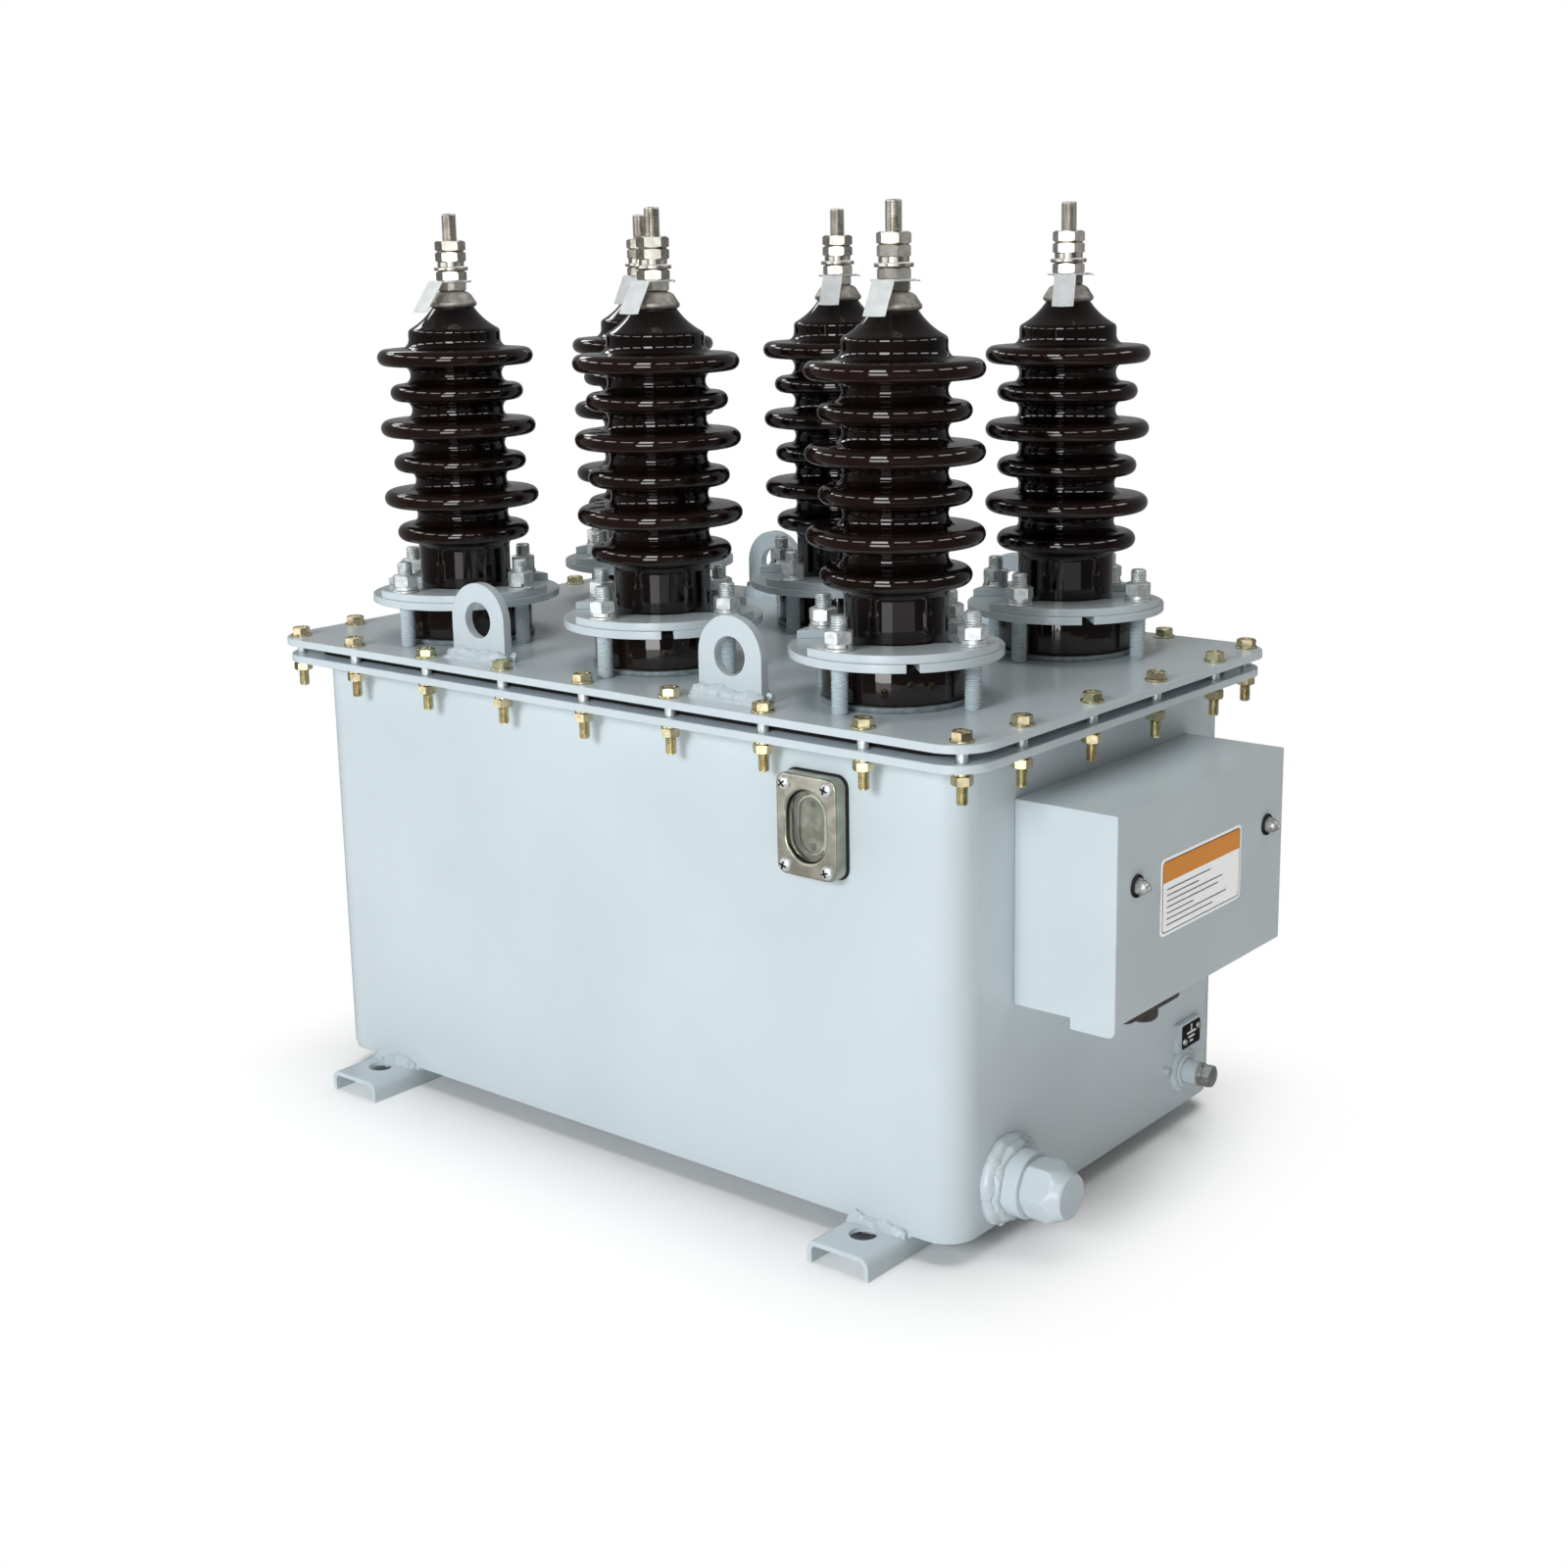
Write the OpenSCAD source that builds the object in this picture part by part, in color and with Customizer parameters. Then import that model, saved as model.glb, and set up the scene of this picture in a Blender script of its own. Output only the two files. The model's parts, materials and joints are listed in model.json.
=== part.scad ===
// Oil-filled metering transformer for outdoor use: a welded steel tank on two channel
// feet, a bolted lid that carries six porcelain bushings, and a terminal box on one end.
// The long side runs along X, the front is -Y, and the feet stand on Z = 0.

/* [Feet] */
// Width of each channel foot
foot_w = 53; // [44:1:60]
// Height of each channel foot
foot_h = 17; // [14:1:30]
// Sheet thickness of the feet
foot_t = 4; // [3:0.5:5]
// Outside radius of the two folds along a foot
foot_fold_r = 8; // [6:0.5:10]
// Reach of each foot past the tank's front and back
foot_reach = 45; // [42:1:80]
// Distance between the centre lines of the feet
foot_spacing = 510; // [440:2:530]
// Diameter of the anchor holes
anchor_d = 20; // [14:1:22]
// Distance from a foot's end to the middle of its anchor hole
anchor_inset = 30; // [16:1:32]

/* [Tank] */
// Length of the tank wall, outside
tank_l = 645; // [610:1:800]
// Width of the tank wall, outside
tank_w = 370; // [345:1:500]
// Height of the tank wall
tank_h = 334; // [320:1:420]
// Outside radius of the upright corners
tank_corner_r = 26; // [15:1:40]
// Thickness of the wall
wall_t = 4; // [3:0.5:5]
// Thickness of the floor plate
floor_t = 5; // [4:0.5:8]
// Step from the wall's outside in to the floor plate's edge
floor_inset = 1.5; // [0.5:0.5:2.5]

/* [Lid] */
// Reach of the lid past the tank's two ends
lid_reach_l = 27.5; // [22:0.5:50]
// Reach of the lid past the tank's front and back
lid_reach_w = 25; // [22:0.5:45]
// Thickness of the lid plate
lid_t = 6; // [4:0.5:10]
// Corner radius of the lid plate
lid_corner_r = 30; // [20:1:45]
// Step from the lid's edge in to the tank flange's edge
flange_inset = 3; // [0:0.5:4]
// Thickness of the tank flange
flange_t = 6; // [4:0.5:10]
// Thickness of the cork gasket between flange and lid
gasket_t = 8; // [4:0.5:12]
// Width by which the gasket reaches past the tank wall
gasket_margin = 6; // [2:0.5:8]
// Distance from the lid's edge to the bolt line
bolt_inset = 11.5; // [10:0.5:13]
// Diameter of the lid bolt holes
bolt_hole_d = 9; // [7:0.5:11]
// Pitch of the lid bolts along the long sides
side_bolt_pitch = 86; // [80:1:90]
// Pitch of the lid bolts along the ends
end_bolt_pitch = 88; // [80:1:92]

/* [Bushings] */
// Distance between bushings along the tank
column_pitch = 220; // [200:1:226]
// Distance from the lid's long edge in to the middle of a bushing row
row_inset = 100; // [98:0.5:115]
// Radius of the wide sheds
wide_shed_r = 62; // [56:0.5:70]
// Radius of the narrow sheds
narrow_shed_r = 53; // [48:0.5:58]
// Radius of the round rim on every shed
shed_rim_r = 6.5; // [5:0.5:7]
// Distance from one shed to the next
shed_pitch = 28.1; // [28:0.1:31]
// Number of sheds, narrow and wide in turn from the bottom
shed_count = 6; // [4:2:8]
// Height of the lowest shed above the lid
first_shed_h = 87; // [80:1:100]
// Radius of the porcelain between the sheds
core_r = 36.5; // [32:0.5:38]
// Radius of the fillets where the sheds meet the core
shed_fillet_r = 7; // [5:0.5:7]
// Radius of the base drum that stands on the lid
drum_r = 52.5; // [50:0.5:56]
// Height of the base drum's top above the lid
drum_top_h = 32; // [24:1:40]
// Thickness of the gasket under a bushing
seat_t = 4; // [2:0.5:6]
// Radius at the top of the porcelain
crown_r = 16.5; // [15:0.5:18]
// Height of the porcelain's top above the top shed
crown_rise = 39; // [36:0.5:44]
// Height of the straight shoulder above the top shed
shoulder_h = 19; // [17:0.5:22]
// Length of the porcelain tail below the lid
tail_l = 70; // [40:1:120]

/* [Clamps] */
// Thickness of each clamp ring
ring_t = 6; // [4:0.5:8]
// Outside radius of the lower clamp ring
lower_ring_r = 75.5; // [74:0.5:80]
// Outside radius of the upper clamp segments
upper_ring_r = 74; // [72:0.5:76]
// Inside radius of the clamp rings
ring_bore_r = 39; // [38.5:0.5:42]
// Width of the slit between the halves of the lower ring
ring_slit = 9; // [3:0.5:12]
// Half the distance between the upper clamp segments
segment_cut = 33; // [28:0.5:35]
// Radius of the circle of clamp studs
stud_circle_r = 64.5; // [62:0.5:66]
// Diameter of the clamp studs
clamp_stud_d = 12; // [8:0.5:12]
// Height of the clamp studs above the lid
clamp_stud_h = 68; // [64:1:90]

/* [Terminals] */
// Diameter of the terminal studs
terminal_d = 12; // [10:0.5:14]
// Free length of a terminal stud above its top nut
terminal_free = 21; // [15:1:40]
// Width across the flats of the terminal nuts
terminal_nut_af = 21; // [17:0.5:22]

/* [Lifting lugs] */
// Width of a lug plate
lug_w = 58; // [50:1:64]
// Thickness of a lug plate
lug_t = 8; // [6:0.5:12]
// Height of the eye's centre above the lid
lug_eye_h = 31; // [26:1:45]
// Diameter of the eye
lug_eye_d = 28; // [20:1:30]
// Distance between the lugs along the tank
lug_spacing = 257; // [245:1:265]
// Distance from the lid's long edge in to the middle of a lug plate
lug_inset = 31.5; // [26:0.5:36]

/* [Terminal box] */
// Width of the box cover
box_w = 238; // [200:1:260]
// Height of the box cover
box_h = 146; // [120:1:150]
// Depth of the box cover, out from the tank
box_d = 80; // [75:1:110]
// Sheet thickness of the box cover
box_t = 2; // [1.5:0.25:3]
// Distance of the cover's upper edge below the tank flange
box_drop = 36; // [25:1:60]
// Distance of the box's centre line behind the tank's centre line
box_y = 3; // [-10:1:15]
// Distance between the two posts that hold the cover
post_spacing = 187; // [160:1:190]
// Diameter of the posts
post_d = 8; // [6:0.5:10]
// Bore of the cable gland
cable_d = 12; // [8:1:14]

/* [Fittings] */
// Width of the oil sight glass frame
sight_w = 52; // [46:1:60]
// Height of the oil sight glass frame
sight_h = 72; // [60:1:90]
// Thickness of the oil sight glass frame
sight_t = 13.5; // [10:0.5:20]
// Width of the window in the frame
window_w = 35; // [28:1:36]
// Height of the window in the frame
window_h = 51; // [40:1:53]
// Distance of the sight glass's middle from the tank's right end
sight_inset = 114.5; // [60:0.5:200]
// Distance of the sight glass's middle below the tank flange
sight_drop = 56; // [42:1:140]
// Radius of the drain boss
drain_boss_r = 24; // [20:0.5:26]
// Distance of the drain's middle from the tank's front
drain_inset = 61; // [52:1:120]
// Height of the drain above the tank's lower edge
drain_z = 27.5; // [26.5:0.5:60]
// Radius of the earth boss
earth_boss_r = 9.5; // [8:0.5:12]
// Length of the earth boss
earth_boss_l = 17; // [14:1:30]
// Diameter of the tapped hole in the earth boss
earth_hole_d = 10; // [6:1:12]
// Distance of the earth boss's middle from the tank's back
earth_inset = 61; // [45:1:90]
// Height of the earth boss above the tank's lower edge
earth_z = 26.5; // [18:0.5:60]

/* [Hidden] */
$fn = 96;
// How far every cut runs past the face that it opens
overrun = 1;
// Gap left around a piece that sits inside another
clearance = 0.3;

// Heights of the main faces, from the ground up
tank_z = foot_h + floor_t;
flange_z = tank_z + tank_h;
gasket_z = flange_z + flange_t;
lid_z = gasket_z + gasket_t;
lid_top_z = lid_z + lid_t;

// The origin lies below the middle of the whole reach: lid edge to box front
tank_x = (lid_reach_l - box_d) / 2;

// Sizes and places that follow the tank and its lid
foot_l = tank_w + 2 * foot_reach;
anchor_spacing = foot_l - 2 * anchor_inset;
lid_l = tank_l + 2 * lid_reach_l;
lid_w = tank_w + 2 * lid_reach_w;
row_pitch = lid_w - 2 * row_inset;
lug_span = lid_w - 2 * lug_inset;
box_lift = tank_h - box_drop - box_h;
sight_x = tank_l / 2 - sight_inset;
sight_z = tank_h - sight_drop;
drain_y = tank_w / 2 - drain_inset;
earth_y = tank_w / 2 - earth_inset;

flange_l = lid_l - 2 * flange_inset;
flange_w = lid_w - 2 * flange_inset;
flange_corner_r = lid_corner_r - flange_inset;

// Bolt places: seven on each long side, four on each end, one at each corner
corner_reach = (lid_corner_r - bolt_inset) * cos(45);
side_bolt_steps = [-3:3];
end_bolt_steps_shares = [-1.5, -0.5, 0.5, 1.5];
bolt_places = concat(
    [for (s = [-1, 1], i = side_bolt_steps) [i * side_bolt_pitch, s * (lid_w / 2 - bolt_inset)]],
    [for (s = [-1, 1], k = end_bolt_steps_shares) [s * (lid_l / 2 - bolt_inset), k * end_bolt_pitch]],
    [for (s = [-1, 1], t = [-1, 1])
        [s * (lid_l / 2 - lid_corner_r + corner_reach), t * (lid_w / 2 - lid_corner_r + corner_reach)]]
);

// Bushing places, and the porcelain's sizes that follow from its sheds
bushing_names = ["front_left", "front_middle", "front_right", "back_left", "back_middle", "back_right"];
bushing_places = [for (r = [-1, 1], c = [-1:1]) [c * column_pitch, r * row_pitch / 2]];
shed_root_half = 9;
top_shed_h = first_shed_h + (shed_count - 1) * shed_pitch;
crown_h = top_shed_h + crown_rise;
drum_edge_r = 3;
seat_margin = 1.5;
tail_gap = 2;
lid_hole_r = core_r + tail_gap;
stem_gap = 1;

// The crown's hollow flare: a circle through its rim that touches the shoulder's round edge
shoulder_edge_r = 4;
flare_r = 50;
crown_rim = [crown_r, crown_h];
shoulder_mid = [core_r - shoulder_edge_r, top_shed_h + shoulder_h];
flare_gap = norm(shoulder_mid - crown_rim);
flare_way = (shoulder_mid - crown_rim) / flare_gap;
flare_along = (flare_gap ^ 2 - shoulder_edge_r * (2 * flare_r + shoulder_edge_r)) / (2 * flare_gap);
flare_off = sqrt(flare_r ^ 2 - flare_along ^ 2);
flare_mid = crown_rim + flare_along * flare_way + flare_off * [-flare_way[1], flare_way[0]];
flare_foot = shoulder_mid + shoulder_edge_r / (flare_r + shoulder_edge_r) * (flare_mid - shoulder_mid);

// Clamp hardware on each stud, above the rings
ring_top_h = drum_top_h + 2 * ring_t;
stud_gap = 0.5;
clamp_washer_r = 10.5;
clamp_washer_t = 2;
spring_washer_r = 9.5;
spring_washer_t = 2.5;
clamp_nut_af = 18;
clamp_nut_h = 9.5;
split_angle = -45;

// Terminal hardware, from the porcelain's crown up
cap_lip_r = 19;
cap_lip_h = 2.5;
cap_top_r = 12.5;
cap_h = 12.5;
jam_nut_h = 7.5;
terminal_nut_h = 8.5;
terminal_washer_r = 13.5;
terminal_washer_t = 3;
terminal_spring_r = 10.5;
terminal_spring_t = 3.5;
terminal_tail = 12;
nut_turn = 20;

// Terminal box details
tab_w = 35;
tab_drop = 8;
tab_corner_r = 6;
outlet_d = 34;
outlet_w = 76;
outlet_h = 5;
outlet_corner_r = 8;
outlet_bore_r = 8;
outlet_y = -60;
outlet_x = box_d - box_t - outlet_d / 2;
gland_r = 11;
gland_tip_r = 9;
gland_h = 8;
gland_tip_h = 2.5;
gland_x = outlet_x + outlet_d / 2 - gland_r;
post_lift = 93;
post_gap = 0.5;

// Sight glass details
sight_corner_r = 8;
pane_t = 5;
sight_land = 4;

// Drain and earth details
drain_boss_l = 23.5;
drain_bore_r = 13;
drain_tail_l = 12;
drain_hex_af = 38;
flat_turn = 30;
drain_hex_l = 13;
drain_cap_l = 17;
drain_cap_r = 17.5;
drain_cap_root = 4;
drain_tip_r = 14;
earth_flare_r = 16;
earth_flare_l = 5;
earth_hole_l = 14;

paint = "#cdd6dc";
porcelain = "#2b1915";
zinc = "#c9cfd0";
tin = "#b4b6b4";
cork = "#33302d";
nickel = "#8f8a80";
dark_rubber = "#5c5350";

// Flat outline: a rectangle with round corners
module rounded_rect(l, w, r) {
    square([l - 2 * r, w], center = true);
    square([l, w - 2 * r], center = true);
    for (x = [-1, 1], y = [-1, 1])
        translate([x * (l / 2 - r), y * (w / 2 - r)]) circle(r);
}

// Flat outline: an upright slot with round ends
module upright_slot(w, h) {
    square([w, h - w], center = true);
    for (s = [-1, 1]) translate([0, s * (h - w) / 2]) circle(d = w);
}

// Hexagon prism of a given width across its flats
module hex_prism(af, h) {
    cylinder(d = af / cos(30), h = h, $fn = 6);
}

// Moves a piece from the tank's own middle to its place over the origin
module on_tank(z) {
    translate([tank_x, 0, z]) children();
}

// Turns a piece that is drawn along +Z so that it stands out of the tank's right end
module out_of_end(y, z) {
    on_tank(z) translate([tank_l / 2, y, 0]) rotate([0, 90, 0]) children();
}

module foot_outline() {
    inner_w = foot_w - 2 * foot_t;
    inner_r = foot_fold_r - foot_t;
    difference() {
        channel_shape(foot_w, foot_h, foot_fold_r);
        translate([0, -overrun]) channel_shape(inner_w, foot_h - foot_t + overrun, inner_r);
    }
}

// Flat outline: a block that stands on its base line, round at both top corners
module channel_shape(w, h, r) {
    translate([-w / 2, 0]) square([w, h - r]);
    translate([r - w / 2, 0]) square([w - 2 * r, h]);
    for (s = [-1, 1]) translate([s * (w / 2 - r), h - r]) circle(r);
}

module foot(side) {
    color(paint) translate([tank_x + side * foot_spacing / 2, 0, 0]) difference() {
        translate([0, foot_l / 2, 0]) rotate([90, 0, 0]) linear_extrude(foot_l) foot_outline();
        for (s = [-1, 1]) translate([0, s * anchor_spacing / 2, foot_h - foot_t - overrun])
            cylinder(d = anchor_d, h = foot_t + 2 * overrun);
    }
}

module tank_floor() {
    color(paint) on_tank(foot_h) linear_extrude(floor_t)
        rounded_rect(tank_l - 2 * floor_inset, tank_w - 2 * floor_inset, tank_corner_r - floor_inset);
}

// Flat outline of the space inside the tank wall
module tank_inside() {
    rounded_rect(tank_l - 2 * wall_t, tank_w - 2 * wall_t, tank_corner_r - wall_t);
}

module tank_wall() {
    color(paint) on_tank(tank_z) difference() {
        linear_extrude(tank_h) difference() {
            rounded_rect(tank_l, tank_w, tank_corner_r);
            tank_inside();
        }
        translate([sight_x, wall_t + overrun - tank_w / 2, sight_z]) rotate([90, 0, 0])
            linear_extrude(wall_t + 2 * overrun)
                upright_slot(window_w - 2 * sight_land, window_h - 2 * sight_land);
    }
}

module bolt_holes() {
    for (p = bolt_places) translate(p) circle(d = bolt_hole_d);
}

module tank_flange() {
    color(paint) on_tank(flange_z) linear_extrude(flange_t) difference() {
        rounded_rect(flange_l, flange_w, flange_corner_r);
        tank_inside();
        bolt_holes();
    }
}

module lid_gasket() {
    color(cork) on_tank(gasket_z) linear_extrude(gasket_t) difference() {
        rounded_rect(tank_l + 2 * gasket_margin, tank_w + 2 * gasket_margin,
            tank_corner_r + gasket_margin);
        tank_inside();
    }
}

module tank_lid() {
    color(paint) on_tank(lid_z) linear_extrude(lid_t) difference() {
        rounded_rect(lid_l, lid_w, lid_corner_r);
        bolt_holes();
        for (p = bushing_places) translate(p) circle(lid_hole_r);
    }
}

// One lug: a plate with a round head about its eye, welded upright on the lid
module lifting_lug() {
    translate([0, lug_t / 2, 0]) rotate([90, 0, 0]) linear_extrude(lug_t) difference() {
        union() {
            translate([-lug_w / 2, 0]) square([lug_w, lug_eye_h]);
            translate([0, lug_eye_h]) circle(d = lug_w);
        }
        translate([0, lug_eye_h]) circle(d = lug_eye_d);
    }
}

module lifting_lugs(row) {
    color(paint) on_tank(lid_top_z) for (s = [-1, 1])
        translate([s * lug_spacing / 2, row * lug_span / 2, 0]) lifting_lug();
}

module bushing_seats() {
    color(cork) on_tank(lid_top_z) for (p = bushing_places) translate(p)
        linear_extrude(seat_t) difference() {
            circle(drum_r + seat_margin);
            circle(lid_hole_r);
        }
}

// Half section of one shed: a rim, a web that thickens to the core, and fillets
module shed_section(rim_reach) {
    rim_x = rim_reach - shed_rim_r;
    fillet_x = core_r + shed_fillet_r;
    web_half = shed_root_half + (shed_rim_r - shed_root_half) * fillet_x / rim_x;
    translate([rim_x, 0]) circle(shed_rim_r);
    polygon([[0, -shed_root_half], [rim_x, -shed_rim_r], [rim_x, shed_rim_r], [0, shed_root_half]]);
    for (s = [0, 1]) mirror([0, s]) difference() {
        square([fillet_x, web_half + shed_fillet_r]);
        translate([fillet_x, web_half + shed_fillet_r]) circle(shed_fillet_r);
    }
}

// Half section of a bushing above and below the lid, with the lid's top at height zero
module porcelain_section() {
    difference() {
        union() {
            translate([0, -lid_t - gasket_t - tail_l])
                square([core_r, lid_t + gasket_t + tail_l + shoulder_mid[1]]);
            translate([0, seat_t]) square([drum_r - drum_edge_r, drum_top_h - seat_t]);
            translate([0, seat_t + drum_edge_r])
                square([drum_r, drum_top_h - seat_t - 2 * drum_edge_r]);
            for (y = [seat_t + drum_edge_r, drum_top_h - drum_edge_r])
                translate([drum_r - drum_edge_r, y]) circle(drum_edge_r);
            for (i = [0:shed_count - 1]) translate([0, first_shed_h + i * shed_pitch])
                shed_section(i % 2 == 0 ? narrow_shed_r : wide_shed_r);
            translate(shoulder_mid) circle(shoulder_edge_r);
            difference() {
                translate([0, shoulder_mid[1]]) square([flare_foot[0], crown_h - shoulder_mid[1]]);
                translate(flare_mid) circle(flare_r);
            }
        }
        translate([-wide_shed_r, -lid_t - gasket_t - tail_l - overrun])
            square([wide_shed_r + terminal_d / 2 + stem_gap,
                lid_t + gasket_t + tail_l + crown_h + 2 * overrun]);
    }
}

module porcelain_body(i) {
    color(porcelain) on_tank(lid_top_z) translate(bushing_places[i]) rotate_extrude() porcelain_section();
}

// The four stud places around one bushing
module at_studs() {
    for (a = [0:90:270]) rotate(a) translate([stud_circle_r, 0]) children();
}

// Flat outline of a clamp ring with its stud holes, before it is split
module ring_outline(r) {
    difference() {
        circle(r);
        circle(ring_bore_r);
        at_studs() circle(d = clamp_stud_d + 2 * stud_gap);
    }
}

module clamp_lower(i) {
    color(paint) on_tank(lid_top_z + drum_top_h) translate(bushing_places[i]) linear_extrude(ring_t)
        difference() {
            ring_outline(lower_ring_r);
            rotate(split_angle) square([2 * lower_ring_r + overrun, ring_slit], center = true);
        }
}

module clamp_upper(i) {
    color(paint) on_tank(lid_top_z + drum_top_h + ring_t) translate(bushing_places[i])
        linear_extrude(ring_t) difference() {
            ring_outline(upper_ring_r);
            rotate(split_angle) square([2 * segment_cut, 2 * upper_ring_r + overrun], center = true);
        }
}

// One clamp stud with its flat washer, spring washer and nut
module clamp_stud() {
    cylinder(d = clamp_stud_d, h = clamp_stud_h);
    translate([0, 0, ring_top_h]) {
        cylinder(r = clamp_washer_r, h = clamp_washer_t);
        translate([0, 0, clamp_washer_t]) cylinder(r = spring_washer_r, h = spring_washer_t);
        translate([0, 0, clamp_washer_t + spring_washer_t]) hex_prism(clamp_nut_af, clamp_nut_h);
    }
}

module clamp_studs(row) {
    color(zinc) on_tank(lid_top_z) for (c = [-1:1])
        translate([c * column_pitch, row * row_pitch / 2, 0]) at_studs() clamp_stud();
}

// Terminal: a cap on the porcelain, nuts and washers on one threaded stem
module terminal(i) {
    stem_l = lid_t + gasket_t + tail_l + terminal_tail + crown_h;
    color(tin) on_tank(lid_top_z) translate(bushing_places[i]) {
        translate([0, 0, crown_h - stem_l])
            cylinder(d = terminal_d, h = stem_l + stack_h() + terminal_free);
        translate([0, 0, crown_h]) {
            cylinder(r = cap_lip_r, h = cap_lip_h);
            translate([0, 0, cap_lip_h]) cylinder(r1 = cap_lip_r, r2 = cap_top_r, h = cap_h - cap_lip_h);
            translate([0, 0, cap_h]) hex_prism(terminal_nut_af, jam_nut_h);
            translate([0, 0, cap_h + jam_nut_h]) terminal_nuts();
        }
    }
}

// Height of the cap, nuts and washers together
function stack_h() = cap_h + jam_nut_h + 3 * terminal_nut_h + terminal_washer_t + terminal_spring_t;

module terminal_nuts() {
    spring_z = terminal_nut_h + terminal_washer_t;
    lock_z = spring_z + terminal_spring_t;
    rotate(nut_turn) hex_prism(terminal_nut_af, terminal_nut_h);
    translate([0, 0, terminal_nut_h]) cylinder(r = terminal_washer_r, h = terminal_washer_t);
    translate([0, 0, spring_z]) cylinder(r = terminal_spring_r, h = terminal_spring_t);
    for (i = [0, 1]) translate([0, 0, lock_z + i * terminal_nut_h])
        rotate(i * nut_turn) hex_prism(terminal_nut_af, terminal_nut_h);
}

// Stands a piece that is drawn flat, facing +Z, out of the tank's front at the sight glass
module at_sight() {
    on_tank(tank_z + sight_z) translate([sight_x, -tank_w / 2, 0]) rotate([90, 0, 0]) children();
}

module sight_frame() {
    color(nickel) at_sight() linear_extrude(sight_t) difference() {
        rounded_rect(sight_w, sight_h, sight_corner_r);
        upright_slot(window_w, window_h);
    }
}

module sight_pane() {
    color("#9fb0b4", 0.5) at_sight() linear_extrude(pane_t)
        upright_slot(window_w - 2 * clearance, window_h - 2 * clearance);
}

// Place of the terminal box: its lower edge on the tank's end, at the box's centre line
module at_box() {
    on_tank(tank_z + box_lift) translate([tank_l / 2, box_y, 0]) children();
}

module box_cover() {
    color(paint) at_box() {
        difference() {
            translate([0, -box_w / 2, 0]) cube([box_d, box_w, box_h]);
            translate([-overrun, box_t - box_w / 2, box_t])
                cube([box_d - box_t + overrun, box_w - 2 * box_t, box_h - 2 * box_t]);
            for (s = [-1, 1]) translate([box_d - box_t - overrun, s * post_spacing / 2, post_lift])
                rotate([0, 90, 0]) cylinder(d = post_d + 2 * post_gap, h = box_t + 2 * overrun);
            translate([gland_x, outlet_y, -overrun]) cylinder(r = outlet_bore_r, h = box_t + 2 * overrun);
        }
        translate([box_d - tab_w, box_t - box_w / 2, 0]) rotate([90, 0, 0])
            linear_extrude(box_t) tab_outline();
    }
}

// Flat outline of the tab that hangs below the cover's front side, round at its outer corner
module tab_outline() {
    translate([0, -tab_drop]) square([tab_w - tab_corner_r, tab_drop + box_t]);
    translate([0, tab_corner_r - tab_drop]) square([tab_w, tab_drop - tab_corner_r + box_t]);
    translate([tab_w - tab_corner_r, tab_corner_r - tab_drop]) circle(tab_corner_r);
}

module box_posts() {
    color(zinc) at_box() for (s = [-1, 1]) translate([0, s * post_spacing / 2, post_lift])
        rotate([0, 90, 0]) cylinder(d = post_d, h = box_d);
}

module cable_outlet() {
    color(dark_rubber) at_box() translate([0, outlet_y, -outlet_h]) linear_extrude(outlet_h)
        difference() {
            translate([outlet_x, 0]) rounded_rect(outlet_d, outlet_w, outlet_corner_r);
            translate([gland_x, 0]) circle(outlet_bore_r);
        }
}

module cable_gland() {
    color(dark_rubber) at_box() translate([gland_x, outlet_y, -outlet_h - gland_h]) difference() {
        union() {
            translate([0, 0, gland_tip_h]) cylinder(r = gland_r, h = gland_h - gland_tip_h);
            cylinder(r1 = gland_tip_r, r2 = gland_r, h = gland_tip_h);
        }
        translate([0, 0, -overrun]) cylinder(d = cable_d, h = gland_h + 2 * overrun);
    }
}

module drain_boss() {
    color(paint) out_of_end(-drain_y, tank_z + drain_z) difference() {
        cylinder(r = drain_boss_r, h = drain_boss_l);
        translate([0, 0, drain_boss_l - drain_tail_l - overrun])
            cylinder(r = drain_bore_r, h = drain_tail_l + 2 * overrun);
    }
}

module drain_plug() {
    color(paint) out_of_end(-drain_y, tank_z + drain_z) translate([0, 0, drain_boss_l]) {
        translate([0, 0, -drain_tail_l])
            cylinder(r = drain_bore_r - clearance, h = drain_tail_l + drain_hex_l / 2);
        rotate(flat_turn) hex_prism(drain_hex_af, drain_hex_l);
        translate([0, 0, drain_hex_l - drain_cap_root])
            cylinder(r1 = drain_cap_r, r2 = drain_tip_r, h = drain_cap_l + drain_cap_root);
    }
}

module earth_boss() {
    color(paint) out_of_end(earth_y, tank_z + earth_z) difference() {
        union() {
            cylinder(r = earth_boss_r, h = earth_boss_l);
            cylinder(r1 = earth_flare_r, r2 = earth_boss_r, h = earth_flare_l);
        }
        translate([0, 0, earth_boss_l - earth_hole_l])
            cylinder(d = earth_hole_d, h = earth_hole_l + overrun);
    }
}

foot(-1);  // foot_left
foot(1);  // foot_right
tank_floor();
tank_wall();
tank_flange();
lid_gasket();
tank_lid();
lifting_lugs(-1);  // lifting_lugs_front
lifting_lugs(1);  // lifting_lugs_back
bushing_seats();
for (i = [0:len(bushing_names) - 1]) {
    porcelain_body(i);
    clamp_lower(i);
    clamp_upper(i);
    terminal(i);
}
clamp_studs(-1);  // clamp_studs_front
clamp_studs(1);  // clamp_studs_back
sight_frame();
sight_pane();
box_cover();
box_posts();
cable_outlet();
cable_gland();
drain_boss();
drain_plug();
earth_boss();
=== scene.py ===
import json
import math
import random

import bmesh
import bpy
from mathutils import Matrix, Vector, noise

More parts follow.
